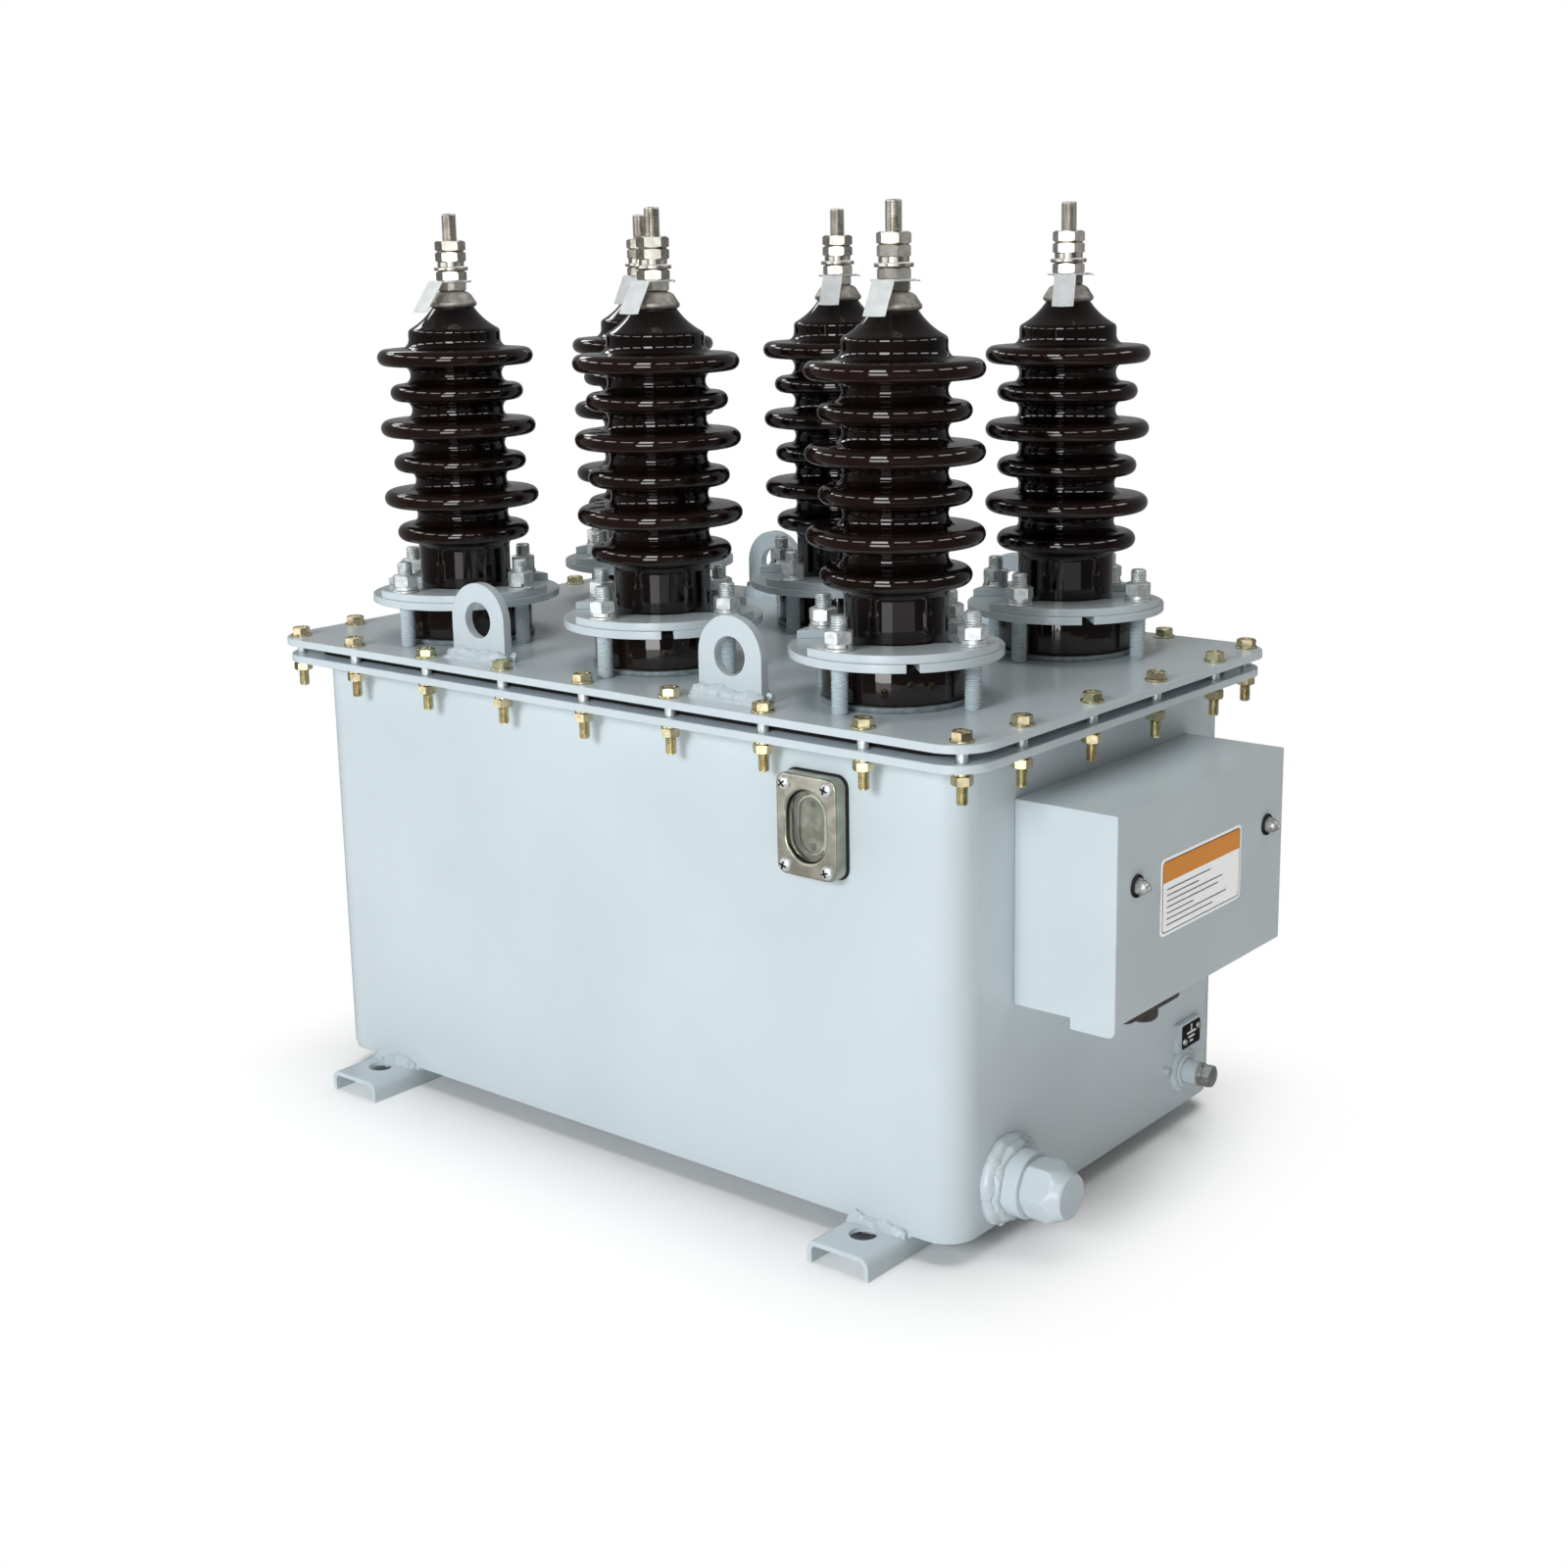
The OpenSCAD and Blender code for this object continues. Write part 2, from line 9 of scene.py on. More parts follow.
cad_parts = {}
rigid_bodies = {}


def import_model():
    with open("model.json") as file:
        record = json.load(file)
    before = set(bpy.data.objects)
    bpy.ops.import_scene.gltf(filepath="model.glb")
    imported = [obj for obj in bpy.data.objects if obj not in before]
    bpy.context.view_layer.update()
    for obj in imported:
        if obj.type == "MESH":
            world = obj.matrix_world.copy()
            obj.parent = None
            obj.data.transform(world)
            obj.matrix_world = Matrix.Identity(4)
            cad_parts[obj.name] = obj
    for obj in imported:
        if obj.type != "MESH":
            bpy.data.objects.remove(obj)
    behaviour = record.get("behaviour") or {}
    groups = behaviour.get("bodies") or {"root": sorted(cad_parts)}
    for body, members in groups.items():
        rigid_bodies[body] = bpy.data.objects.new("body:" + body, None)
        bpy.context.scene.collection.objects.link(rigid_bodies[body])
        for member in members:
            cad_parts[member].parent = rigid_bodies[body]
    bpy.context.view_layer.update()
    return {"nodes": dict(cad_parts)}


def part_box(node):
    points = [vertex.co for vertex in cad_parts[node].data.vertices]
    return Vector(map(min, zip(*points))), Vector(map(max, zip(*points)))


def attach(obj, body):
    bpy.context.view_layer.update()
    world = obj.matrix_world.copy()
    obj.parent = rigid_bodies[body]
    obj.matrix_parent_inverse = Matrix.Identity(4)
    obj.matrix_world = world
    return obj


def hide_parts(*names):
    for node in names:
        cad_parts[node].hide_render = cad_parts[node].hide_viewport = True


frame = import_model()

# Tank: a wall of 4 mm steel sheet, folded round its four corners and welded to a floor plate.
# It is sprayed with pale blue-grey enamel, which dries smooth and glossy.
MM = 0.001


def linear(hex_colour):
    """Turns an sRGB hex colour into the linear colour that a shader takes."""
    shares = [int(hex_colour[i:i + 2], 16) / 255 for i in (1, 3, 5)]
    return [s / 12.92 if s <= 0.04045 else ((s + 0.055) / 1.055) ** 2.4 for s in shares] + [1.0]


def add_node(tree, kind, inputs, **settings):
    """Adds a shader node with its settings, and gives each named input its value or its link."""
    made = tree.nodes.new("ShaderNode" + kind)
    for name, value in settings.items():
        setattr(made, name, value)
    for name, value in inputs.items():
        if isinstance(value, bpy.types.NodeSocket):
            tree.links.new(value, made.inputs[name])
        else:
            made.inputs[name].default_value = value
    return made


def new_finish(name, sockets):
    """Starts a material: its node tree, its shader with plain values, and its own coordinates."""
    finish = bpy.data.materials.new(name)
    finish.use_nodes = True
    tree = finish.node_tree
    shader = tree.nodes["Principled BSDF"]
    for socket, value in sockets.items():
        shader.inputs[socket].default_value = value
    return finish, tree, shader, add_node(tree, "TexCoord", {}).outputs["Object"]


def patches(tree, coords, size, detail, first, second):
    """Soft patches of one real size that run from one colour to another, each a value or a link."""
    pattern = add_node(tree, "TexNoise", {"Vector": coords, "Scale": 1 / size, "Detail": detail})
    spread = add_node(tree, "MapRange", {"Value": pattern.outputs[0], "From Min": 0.35, "From Max": 0.65})
    return add_node(tree, "Mix", {0: spread.outputs[0], 6: first, 7: second}, data_type="RGBA").outputs[2]


def patchy_colour(tree, shader, coords, size, detail, first, second):
    """Colours a finish in soft patches of one real size, between two colours."""
    colour = patches(tree, coords, size, detail, linear(first), linear(second))
    tree.links.new(colour, shader.inputs["Base Color"])


def grain(tree, shader, coords, *layers):
    """Raises a finish's surface in layers, each a pattern size and a height."""
    normal = None
    for size, height in layers:
        pattern = add_node(tree, "TexNoise", {"Vector": coords, "Scale": 1 / size, "Detail": 2})
        inputs = {"Height": pattern.outputs[0], "Distance": height}
        normal = add_node(tree, "Bump", inputs | ({"Normal": normal} if normal else {})).outputs[0]
    tree.links.new(normal, shader.inputs["Normal"])


def put_on(finish, *names):
    """Gives CAD pieces a finish in place of their plain colour."""
    for name in names:
        for holder in frame["nodes"][name].material_slots:
            holder.material = finish


# Sprayed enamel: even colour, a faint orange peel, and the slow waves of the sheet below it.
# Real peel is about 2 mm across, and is drawn at 6 mm so that it shows.
enamel, tree, shader, coords = new_finish("grey_enamel", {"Roughness": 0.2, "IOR": 1.5})
patchy_colour(tree, shader, coords, 160 * MM, 3, "#cad5da", "#d0dbe0")
grain(tree, shader, coords, (140 * MM, 0.15 * MM), (6 * MM, 0.006 * MM))
put_on(enamel, "tank_floor", "tank_wall")

# Feet and flange: plate that was cut, drilled and folded, with its edges broken before painting.
# The feet are welded under the floor plate and the flange round the top of the wall.
flat_angle = math.radians(1)
edge_angle = math.radians(30)
merge_gap = 0.005 * MM


def as_piece(bm, name, finish, nodes=()):
    """Makes a finished piece of a mesh, which may stand for the solids that it dresses."""
    mesh = bpy.data.meshes.new(name)
    bm.to_mesh(mesh)
    bm.free()
    mesh.materials.append(finish)
    mesh.shade_smooth()
    mesh.set_sharp_from_angle(angle=math.radians(40))
    piece = bpy.data.objects.new(name, mesh)
    bpy.context.collection.objects.link(piece)
    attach(piece, "root")
    if nodes:
        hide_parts(*nodes)
    return piece


def ease_edges(name, node, finish, width):
    """Copies a solid with its sharp edges rounded, and keeps its faces flat between them."""
    bm = bmesh.new()
    bm.from_mesh(frame["nodes"][node].data)
    bmesh.ops.remove_doubles(bm, verts=bm.verts, dist=merge_gap)
    bmesh.ops.dissolve_limit(bm, angle_limit=flat_angle, verts=bm.verts, edges=bm.edges)
    sharp = [e for e in bm.edges if e.is_manifold and e.calc_face_angle() > edge_angle]
    bmesh.ops.bevel(bm, geom=sharp, offset=width, offset_type="OFFSET", affect="EDGES",
                    segments=3, profile=0.5, material=-1)
    piece = as_piece(bm, name, finish, [node])
    piece.modifiers.new("flat_faces", "WEIGHTED_NORMAL").weight = 100


ease_edges("foot_left_channel", "foot_left", enamel, 0.7 * MM)
ease_edges("foot_right_channel", "foot_right", enamel, 0.7 * MM)
ease_edges("tank_flange_plate", "tank_flange", enamel, 0.7 * MM)

# Weld beads: lumpy seams laid by hand where the feet meet the tank, painted over with it.
# The ripples follow the electrode's steps, about 4 mm apart. The lumps come from one seed, so that
# each run lays the same beads.
ripple_pitch = 4 * MM
bead_sides = 12
noise.seed_set(3)


def join_rings(bm, rings):
    """Joins rings of vertices, each to the next one, with faces."""
    for first, second in zip(rings, rings[1:]):
        edges = {e for ring in (first, second) for v in ring for e in v.link_edges
                 if e.verts[0] in ring and e.verts[1] in ring}
        bmesh.ops.bridge_loops(bm, edges=list(edges))
    bmesh.ops.recalc_face_normals(bm, faces=bm.faces)


def lay_weld(bm, points, radius, closed=False):
    """Lays one rippled, lumpy bead along a line of points, joined to itself where it is closed."""
    rings = []
    last = len(points) - 1
    for i, point in enumerate(points):
        before = points[i - 1] if i or closed else point
        after = points[(i + 1) % len(points)] if i < last or closed else point
        swell = 1 + 0.03 * math.cos(i * math.pi) + 0.35 * noise.noise(point / (17 * MM))
        taper = 1 if closed else min(1, 0.5 + 0.2 * min(i, last - i))
        turn = (after - before).to_track_quat("Z", "Y").to_matrix().to_4x4()
        ring = bmesh.ops.create_circle(bm, segments=bead_sides, radius=radius * swell * taper,
                                       cap_ends=not closed and i in (0, last),
                                       matrix=Matrix.Translation(point) @ turn)["verts"]
        for v in ring:
            lumps = noise.noise_vector(v.co / (9 * MM)) + noise.noise_vector(v.co / (3.5 * MM))
            v.co += 0.25 * radius * lumps
        rings.append(ring)
    join_rings(bm, rings + (rings[:1] if closed else []))


def straight_seam(start, end):
    """Points along a straight seam, half a ripple apart."""
    steps = max(2, round(2 * (end - start).length / ripple_pitch))
    return [start.lerp(end, i / steps) for i in range(steps + 1)]


wall_low, wall_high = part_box("tank_wall")
foot_seams = bmesh.new()
for node in ("foot_left", "foot_right"):
    low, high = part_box(node)
    for y, inward in ((wall_low.y, 1), (wall_high.y, -1)):
        under = y + inward * 2 * MM
        across = [Vector((x, under, high.z - 1 * MM)) for x in (low.x + 1 * MM, high.x - 1 * MM)]
        lay_weld(foot_seams, straight_seam(*across), 8 * MM)
        beside = [Vector((high.x, y + inward * reach, high.z - 1 * MM)) for reach in (2 * MM, 45 * MM)]
        lay_weld(foot_seams, straight_seam(*beside), 3.5 * MM)
as_piece(foot_seams, "foot_seams", enamel)

# Gasket and lid: a cork-rubber cord laid along the flange, and a flat steel lid drawn down on it.
# The gasket shows only as a dark line between the two plates.
cork, tree, shader, coords = new_finish("cork_rubber", {"Roughness": 0.85})
patchy_colour(tree, shader, coords, 2 * MM, 3, "#141414", "#262524")
grain(tree, shader, coords, (1.5 * MM, 0.2 * MM))
put_on(cork, "lid_gasket")
ease_edges("tank_lid_plate", "tank_lid", enamel, 0.7 * MM)

# Lid bolts: M8 steel, zinc plated and passivated yellow, which leaves green and pink tints on it.
# A flat washer lies under each dished head, a spring washer and a nut below the flange, and the
# shank between the plates is worn bright.
yellow_zinc, tree, shader, coords = new_finish("yellow_zinc", {"Metallic": 1.0, "Roughness": 0.25})
olive_to_pink = patches(tree, coords, 60 * MM, 1, linear("#bfbf98"), linear("#c6ab8c"))
tinted = patches(tree, coords, 5 * MM, 3, olive_to_pink, linear("#e0d6b0"))
tree.links.new(tinted, shader.inputs["Base Color"])
grain(tree, shader, coords, (1.5 * MM, 0.02 * MM))
zinc, tree, shader, coords = new_finish("galvanised_steel", {"Metallic": 0.7, "Roughness": 0.36})
patchy_colour(tree, shader, coords, 4 * MM, 3, "#bcc3c4", "#e0e4e3")
grain(tree, shader, coords, (1.2 * MM, 0.03 * MM))


def set_down(bm, part, place):
    """Copies a part into a larger mesh, at a place."""
    mesh = bpy.data.meshes.new("part")
    part.to_mesh(mesh)
    first = len(bm.verts)
    bm.from_mesh(mesh)
    bpy.data.meshes.remove(mesh)
    bm.verts.ensure_lookup_table()
    bmesh.ops.transform(bm, matrix=place, verts=bm.verts[first:])


def lifted(height, turn=0.0):
    """A place on the Z axis, turned about it."""
    return Matrix.Translation((0, 0, height)) @ Matrix.Rotation(turn, 4, "Z")


def turned(outline, steps=40):
    """A turned part: an outline of (radius, height) points, spun once round the Z axis."""
    bm = bmesh.new()
    line = [bm.verts.new((r, 0, z)) for r, z in outline]
    edges = [bm.edges.new(pair) for pair in zip(line, line[1:])]
    bmesh.ops.spin(bm, geom=line + edges, cent=(0, 0, 0), axis=(0, 0, 1), angle=2 * math.pi, steps=steps,
                   use_merge=True, use_duplicate=False)
    bmesh.ops.remove_doubles(bm, verts=bm.verts, dist=0.001 * MM)
    bmesh.ops.recalc_face_normals(bm, faces=bm.faces)
    return bm


def flat_washer(outer, bore, thick):
    """A stamped washer: a flat ring with its rims slightly rounded."""
    rim = thick * 0.25
    return turned([(bore, 0), (outer - rim, 0), (outer, rim), (outer, thick - rim), (outer - rim, thick),
                   (bore, thick), (bore, 0)])


def spring_washer(outer, bore, thick):
    """A spring washer: a square wire wound once, cut through and sprung a little open."""
    bm = bmesh.new()
    corners = [bm.verts.new((r, 0, z)) for r, z in ((bore, 0), (outer, 0), (outer, thick), (bore, thick))]
    edges = [bm.edges.new((a, b)) for a, b in zip(corners, corners[1:] + corners[:1])]
    steps = 32
    bmesh.ops.spin(bm, geom=corners + edges, cent=(0, 0, 0), axis=(0, 0, 1), angle=math.radians(347),
                   dvec=(0, 0, 0.2 * thick / steps), steps=steps, use_duplicate=False)
    bmesh.ops.remove_doubles(bm, verts=bm.verts, dist=0.001 * MM)
    bmesh.ops.holes_fill(bm, edges=[e for e in bm.edges if e.is_boundary], sides=4)
    bmesh.ops.recalc_face_normals(bm, faces=bm.faces)
    return bm


def sink_face(bm, faces, rim, slope, depth):
    """Sinks the middle of a part's top face, inside a flat rim and a sloping wall."""
    bmesh.ops.inset_region(bm, faces=faces, thickness=rim)
    bmesh.ops.inset_region(bm, faces=faces, thickness=slope)
    bmesh.ops.translate(bm, vec=(0, 0, -depth), verts=list({v for f in faces for v in f.verts}))


def hexagon(across_flats, height, both_ends=True, dish=0.0):
    """A nut or a bolt head: a hexagon with its corners turned off at 30 degrees, dished on top."""
    bm = bmesh.new()
    face_r = 0.47 * across_flats
    rings = []
    for level in range(4):
        ring = bmesh.ops.create_circle(bm, segments=36, radius=face_r, cap_ends=level in (0, 3))["verts"]
        for v in ring:
            off = (math.atan2(v.co.y, v.co.x) + math.pi / 6) % (math.pi / 3) - math.pi / 6
            reach = across_flats / 2 / math.cos(off)
            drop = (reach - face_r) * math.tan(math.radians(30))
            radius = face_r if level in (0, 3) else reach
            side = v.co.xy.normalized() * radius
            v.co = (*side, (0, drop if both_ends else 0, height - drop, height)[level])
        rings.append(ring)
    join_rings(bm, rings)
    if dish:
        top = [f for f in bm.faces if all(v.co.z > height - 0.01 * MM for v in f.verts)]
        sink_face(bm, top, 0.12 * across_flats, 0.06 * across_flats, dish)
    return bm


def threaded_rod(diameter, pitch, length, steps=18):
    """A rod with a true thread: a row of teeth spun once while it climbs one pitch, ends cut square."""
    bm = bmesh.new()
    crest, root = diameter / 2, diameter / 2 - 0.6 * pitch
    teeth = math.ceil(length / pitch) + 3
    line = [bm.verts.new((r, 0, (i + z - 2) * pitch)) for i in range(teeth)
            for r, z in ((root, 0), (crest, 0.4), (crest, 0.6))]
    edges = [bm.edges.new(pair) for pair in zip(line, line[1:])]
    bmesh.ops.spin(bm, geom=line + edges, cent=(0, 0, 0), axis=(0, 0, 1), angle=2 * math.pi,
                   dvec=(0, 0, pitch / steps), steps=steps, use_duplicate=False)
    bmesh.ops.remove_doubles(bm, verts=bm.verts, dist=0.01 * pitch)
    for height, side in ((0, -1), (length, 1)):
        cut = bmesh.ops.bisect_plane(bm, geom=bm.verts[:] + bm.edges[:] + bm.faces[:], dist=0.0001 * MM,
                                     plane_co=(0, 0, height), plane_no=(0, 0, side), clear_outer=True)
        rim = [e for e in cut["geom_cut"] if isinstance(e, bmesh.types.BMEdge)]
        bmesh.ops.contextual_create(bm, geom=rim)
    for v in bm.verts:
        room = min(v.co.z, length - v.co.z) + root - 0.1 * pitch
        if v.co.xy.length > room:
            v.co.xy = v.co.xy.normalized() * room
    bmesh.ops.recalc_face_normals(bm, faces=bm.faces)
    return bm


lid_low, lid_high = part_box("tank_lid")
flange_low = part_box("tank_flange")[0]
lid_middle = (lid_low + lid_high) / 2
lid_reach = (lid_high - lid_low) / 2
lid_corner_r = 30 * MM
bolt_inset, side_bolt_pitch, end_bolt_pitch = 11.5 * MM, 86 * MM, 88 * MM
bolt_d, bolt_pitch, bolt_flats, head_h, bolt_nut_h = 8 * MM, 1.25 * MM, 13 * MM, 5.5 * MM, 6.8 * MM
bolt_washer_r, bolt_washer_t, bolt_spring_r, bolt_spring_t = 8.5 * MM, 1.6 * MM, 6.8 * MM, 2 * MM
bolt_tail = 13 * MM
corner_inset = lid_corner_r - (lid_corner_r - bolt_inset) * math.cos(math.radians(45))
corner_x, corner_y = lid_reach.x - corner_inset, lid_reach.y - corner_inset
side_y, end_x = lid_reach.y - bolt_inset, lid_reach.x - bolt_inset
bolt_spots = [(i * side_bolt_pitch, s * side_y) for s in (-1, 1) for i in range(-3, 4)]
bolt_spots += [(s * end_x, (k - 1.5) * end_bolt_pitch) for s in (-1, 1) for k in range(4)]
bolt_spots += [(s * corner_x, t * corner_y) for s in (-1, 1) for t in (-1, 1)]
random.seed(8)
washer = flat_washer(bolt_washer_r, bolt_d / 2, bolt_washer_t)
split_ring = spring_washer(bolt_spring_r, bolt_d / 2, bolt_spring_t)
head = hexagon(bolt_flats, head_h, both_ends=False, dish=0.8 * MM)
nut = hexagon(bolt_flats, bolt_nut_h)
nut_top = flange_low.z - lid_high.z - bolt_spring_t
rod_low = nut_top - bolt_nut_h - bolt_tail
rod = threaded_rod(bolt_d, bolt_pitch, nut_top - rod_low)
shank = turned([(bolt_d / 2, nut_top), (bolt_d / 2, bolt_washer_t)], steps=20)
lid_bolts, shanks = bmesh.new(), bmesh.new()
for x, y in bolt_spots:
    bolt = bmesh.new()
    set_down(bolt, washer, lifted(0))
    set_down(bolt, head, lifted(bolt_washer_t, random.uniform(0, math.pi)))
    set_down(bolt, rod, lifted(rod_low, random.uniform(0, math.pi)))
    set_down(bolt, split_ring, lifted(nut_top, random.uniform(0, 6)))
    set_down(bolt, nut, lifted(nut_top - bolt_nut_h, random.uniform(0, math.pi)))
    spot = Matrix.Translation((lid_middle.x + x, lid_middle.y + y, lid_high.z))
    set_down(lid_bolts, bolt, spot)
    set_down(shanks, shank, spot)
    bolt.free()
as_piece(lid_bolts, "lid_bolts", yellow_zinc)
as_piece(shanks, "lid_bolt_shanks", zinc)

# Lifting lugs: four plates cut with a round head and a round eye, stood upright on the lid.
# A thick, rough fillet weld runs along the foot of each plate and round its ends.
lug_w = 58 * MM
lug_seams = bmesh.new()
for row in ("front", "back"):
    node = "lifting_lugs_" + row
    ease_edges(node + "_plates", node, enamel, 0.8 * MM)
    low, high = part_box(node)
    for left in (low.x, high.x - lug_w):
        for y in (low.y - 1 * MM, high.y + 1 * MM):
            ends = [Vector((x, y, low.z + 2 * MM)) for x in (left - 4 * MM, left + lug_w + 3 * MM)]
            lay_weld(lug_seams, straight_seam(*ends), 6.5 * MM)
            apron = [end + Vector((0, math.copysign(5 * MM, y), -2.5 * MM)) for end in ends]
            lay_weld(lug_seams, straight_seam(*apron), 3.5 * MM)
as_piece(lug_seams, "lug_seams", enamel)

# Bushings: electrical porcelain, turned with sheds that are narrow and wide by turns, dipped in
# brown glaze and fired. The glaze is thick and nearly black, and runs thin and redder on the rims.
glaze, tree, shader, coords = new_finish("brown_glaze", {"Roughness": 0.05, "IOR": 1.6})
thick = patches(tree, coords, 28 * MM, 4, linear("#0c0706"), linear("#190f0c"))
rim = add_node(tree, "Attribute", {}, attribute_name="glaze_runs_thin")
worn = add_node(tree, "Mix", {0: rim.outputs["Fac"], 6: thick, 7: linear("#1e110d")}, data_type="RGBA")
tree.links.new(worn.outputs[2], shader.inputs["Base Color"])
grain(tree, shader, coords, (18 * MM, 0.06 * MM))


def arc(x, z, radius, start, end, steps):
    """Points of a round stretch, by its middle, its radius and its two angles in degrees."""
    angles = [math.radians(start + (end - start) * i / steps) for i in range(steps + 1)]
    return [(x + radius * math.cos(a), z + radius * math.sin(a)) for a in angles]


seat_low, seat_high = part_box("bushing_seats")
crown_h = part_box("porcelain_front_left")[1].z - lid_high.z
core_r, drum_r, drum_edge_r, drum_top = 36.5 * MM, 52.5 * MM, 3 * MM, 32 * MM
seat_t = seat_high.z - seat_low.z
first_shed, shed_pitch, shed_count = 87 * MM, 28.1 * MM, 6
narrow_shed_r, wide_shed_r, shed_rim_r = 53 * MM, 62 * MM, 6.5 * MM
shed_fillet_r, shed_root_half = 7 * MM, 9 * MM
crown_r, shoulder_h, shoulder_edge_r, flare_r, stem_r, tail = (v * MM for v in (16.5, 19, 4, 50, 7, 84))
outline = [(stem_r, -tail), (core_r, -tail), (core_r, seat_t)]
outline += arc(drum_r - drum_edge_r, seat_t + drum_edge_r, drum_edge_r, -90, 0, 5)
outline += arc(drum_r - drum_edge_r, drum_top - drum_edge_r, drum_edge_r, 0, 90, 5)
outline += [(core_r, drum_top)]
for i in range(shed_count):
    z = first_shed + i * shed_pitch
    rim_x = (wide_shed_r if i % 2 else narrow_shed_r) - shed_rim_r
    fillet_x = core_r + shed_fillet_r
    web_half = shed_root_half + (shed_rim_r - shed_root_half) * fillet_x / rim_x
    outline += arc(fillet_x, z - web_half - shed_fillet_r, shed_fillet_r, 180, 90, 7)
    outline += arc(rim_x, z, shed_rim_r, -90, 90, 14)
    outline += arc(fillet_x, z + web_half + shed_fillet_r, shed_fillet_r, 270, 180, 7)
crown_rim = Vector((crown_r, crown_h))
shoulder = Vector((core_r - shoulder_edge_r, first_shed + (shed_count - 1) * shed_pitch + shoulder_h))
way = shoulder - crown_rim
along = (way.length ** 2 - shoulder_edge_r * (2 * flare_r + shoulder_edge_r)) / (2 * way.length)
off = math.sqrt(flare_r ** 2 - along ** 2)
way.normalize()
flare = crown_rim + along * way + off * Vector((-way.y, way.x))
touch = math.degrees(math.atan2(flare.y - shoulder.y, flare.x - shoulder.x))
top = math.degrees(math.atan2(flare.y - crown_rim.y, flare.x - crown_rim.x))
outline += arc(*shoulder, shoulder_edge_r, 0, touch, 5)
outline += arc(*flare, flare_r, touch + 180, top + 180, 10) + [(stem_r, crown_h), (stem_r, -tail)]
body = turned(outline, steps=96)
thin = body.verts.layers.float.new("glaze_runs_thin")
for v in body.verts:
    v[thin] = max(0, min(1, (v.co.xy.length - 46 * MM) / (14 * MM)))
bushing_names = [row + side for row in ("front_", "back_") for side in ("left", "middle", "right")]
bushing_spots = {}
for name in bushing_names:
    low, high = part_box("porcelain_" + name)
    bushing_spots[name] = Vector(((low.x + high.x) / 2, (low.y + high.y) / 2, lid_high.z))
    placed = bmesh.new()
    set_down(placed, body, Matrix.Translation(bushing_spots[name]))
    as_piece(placed, f"porcelain_{name}_glazed", glaze, ["porcelain_" + name])

# Bushing seats: flat rings of grey rubber between the porcelain and the lid, which bulge a little
# past the porcelain under the clamps.
grey_rubber, tree, shader, coords = new_finish("grey_rubber", {"Roughness": 0.35})
patchy_colour(tree, shader, coords, 6 * MM, 3, "#737b7e", "#8d9598")
ease_edges("bushing_seat_rings", "bushing_seats", grey_rubber, 1.2 * MM)

# Clamps: rings of 6 mm plate round the neck of each bushing, painted with the tank. The lower one
# is cut in two halves, and two short segments lie over the cuts above it.
for name in bushing_names:
    for ring in ("clamp_lower_", "clamp_upper_"):
        ease_edges(ring + name + "_plate", ring + name, enamel, 0.6 * MM)

# Clamp studs: M12 threaded rod welded to the lid and painted with it up to the rings. Above them
# a flat washer, a spring washer and a nut are zinc plated, pale and slightly mottled.
put_on(zinc, "box_posts")
stud_circle_r, stud_d, stud_pitch, stud_h = 64.5 * MM, 12 * MM, 1.75 * MM, 68 * MM
ring_top = drum_top + 12 * MM
stud_washer_r, stud_washer_t, stud_spring_r, stud_spring_t = 10.5 * MM, 2 * MM, 9.5 * MM, 2.5 * MM
stud_nut_flats, stud_nut_h = 18 * MM, 9.5 * MM
washer = flat_washer(stud_washer_r, stud_d / 2, stud_washer_t)
split_ring = spring_washer(stud_spring_r, stud_d / 2, stud_spring_t)
nut = hexagon(stud_nut_flats, stud_nut_h)
painted_rod = threaded_rod(stud_d, stud_pitch, ring_top)
plated_rod = threaded_rod(stud_d, stud_pitch, stud_h - ring_top)
nut_base = ring_top + stud_washer_t + stud_spring_t
for row in ("front", "back"):
    feet, tops = bmesh.new(), bmesh.new()
    for name in [n for n in bushing_names if n.startswith(row)]:
        for quarter in range(4):
            spot = Matrix.Translation(bushing_spots[name]) @ Matrix.Rotation(quarter * math.pi / 2, 4, "Z")
            spot = spot @ Matrix.Translation((stud_circle_r, 0, 0))
            set_down(feet, painted_rod, spot @ lifted(0, random.uniform(0, 6)))
            set_down(tops, plated_rod, spot @ lifted(ring_top, random.uniform(0, 6)))
            set_down(tops, washer, spot @ lifted(ring_top))
            set_down(tops, split_ring, spot @ lifted(ring_top + stud_washer_t, random.uniform(0, 6)))
            set_down(tops, nut, spot @ lifted(nut_base, random.uniform(0, 6)))
    node = "clamp_studs_" + row
    as_piece(feet, node + "_painted", enamel)
    as_piece(tops, node + "_plated", zinc, [node])

# Terminals: an M12 brass stem, tinned, through a cast cap that seals the porcelain's crown, with
# nuts and washers in a stack and a free threaded end for the line.
tinned_brass, tree, shader, coords = new_finish("tinned_brass", {"Metallic": 1.0, "Roughness": 0.24})
patchy_colour(tree, shader, coords, 7 * MM, 3, "#c2beb4", "#dedbd3")
grain(tree, shader, coords, (1.2 * MM, 0.006 * MM))
cast_cap, tree, shader, coords = new_finish("cast_zinc_cap", {"Metallic": 0.8, "Roughness": 0.45})
patchy_colour(tree, shader, coords, 5 * MM, 3, "#8b867f", "#b0aba4")
grain(tree, shader, coords, (1.5 * MM, 0.05 * MM))
cap_lip_r, cap_h, terminal_flats, jam_nut_h, terminal_nut_h = (v * MM for v in (19, 12.5, 21, 7.5, 8.5))
terminal_d, terminal_pitch, free_end = 12 * MM, 1.75 * MM, 21 * MM
terminal_washer_r, terminal_washer_t = 13.5 * MM, 3 * MM
terminal_spring_r, terminal_spring_t = 10.5 * MM, 3.5 * MM
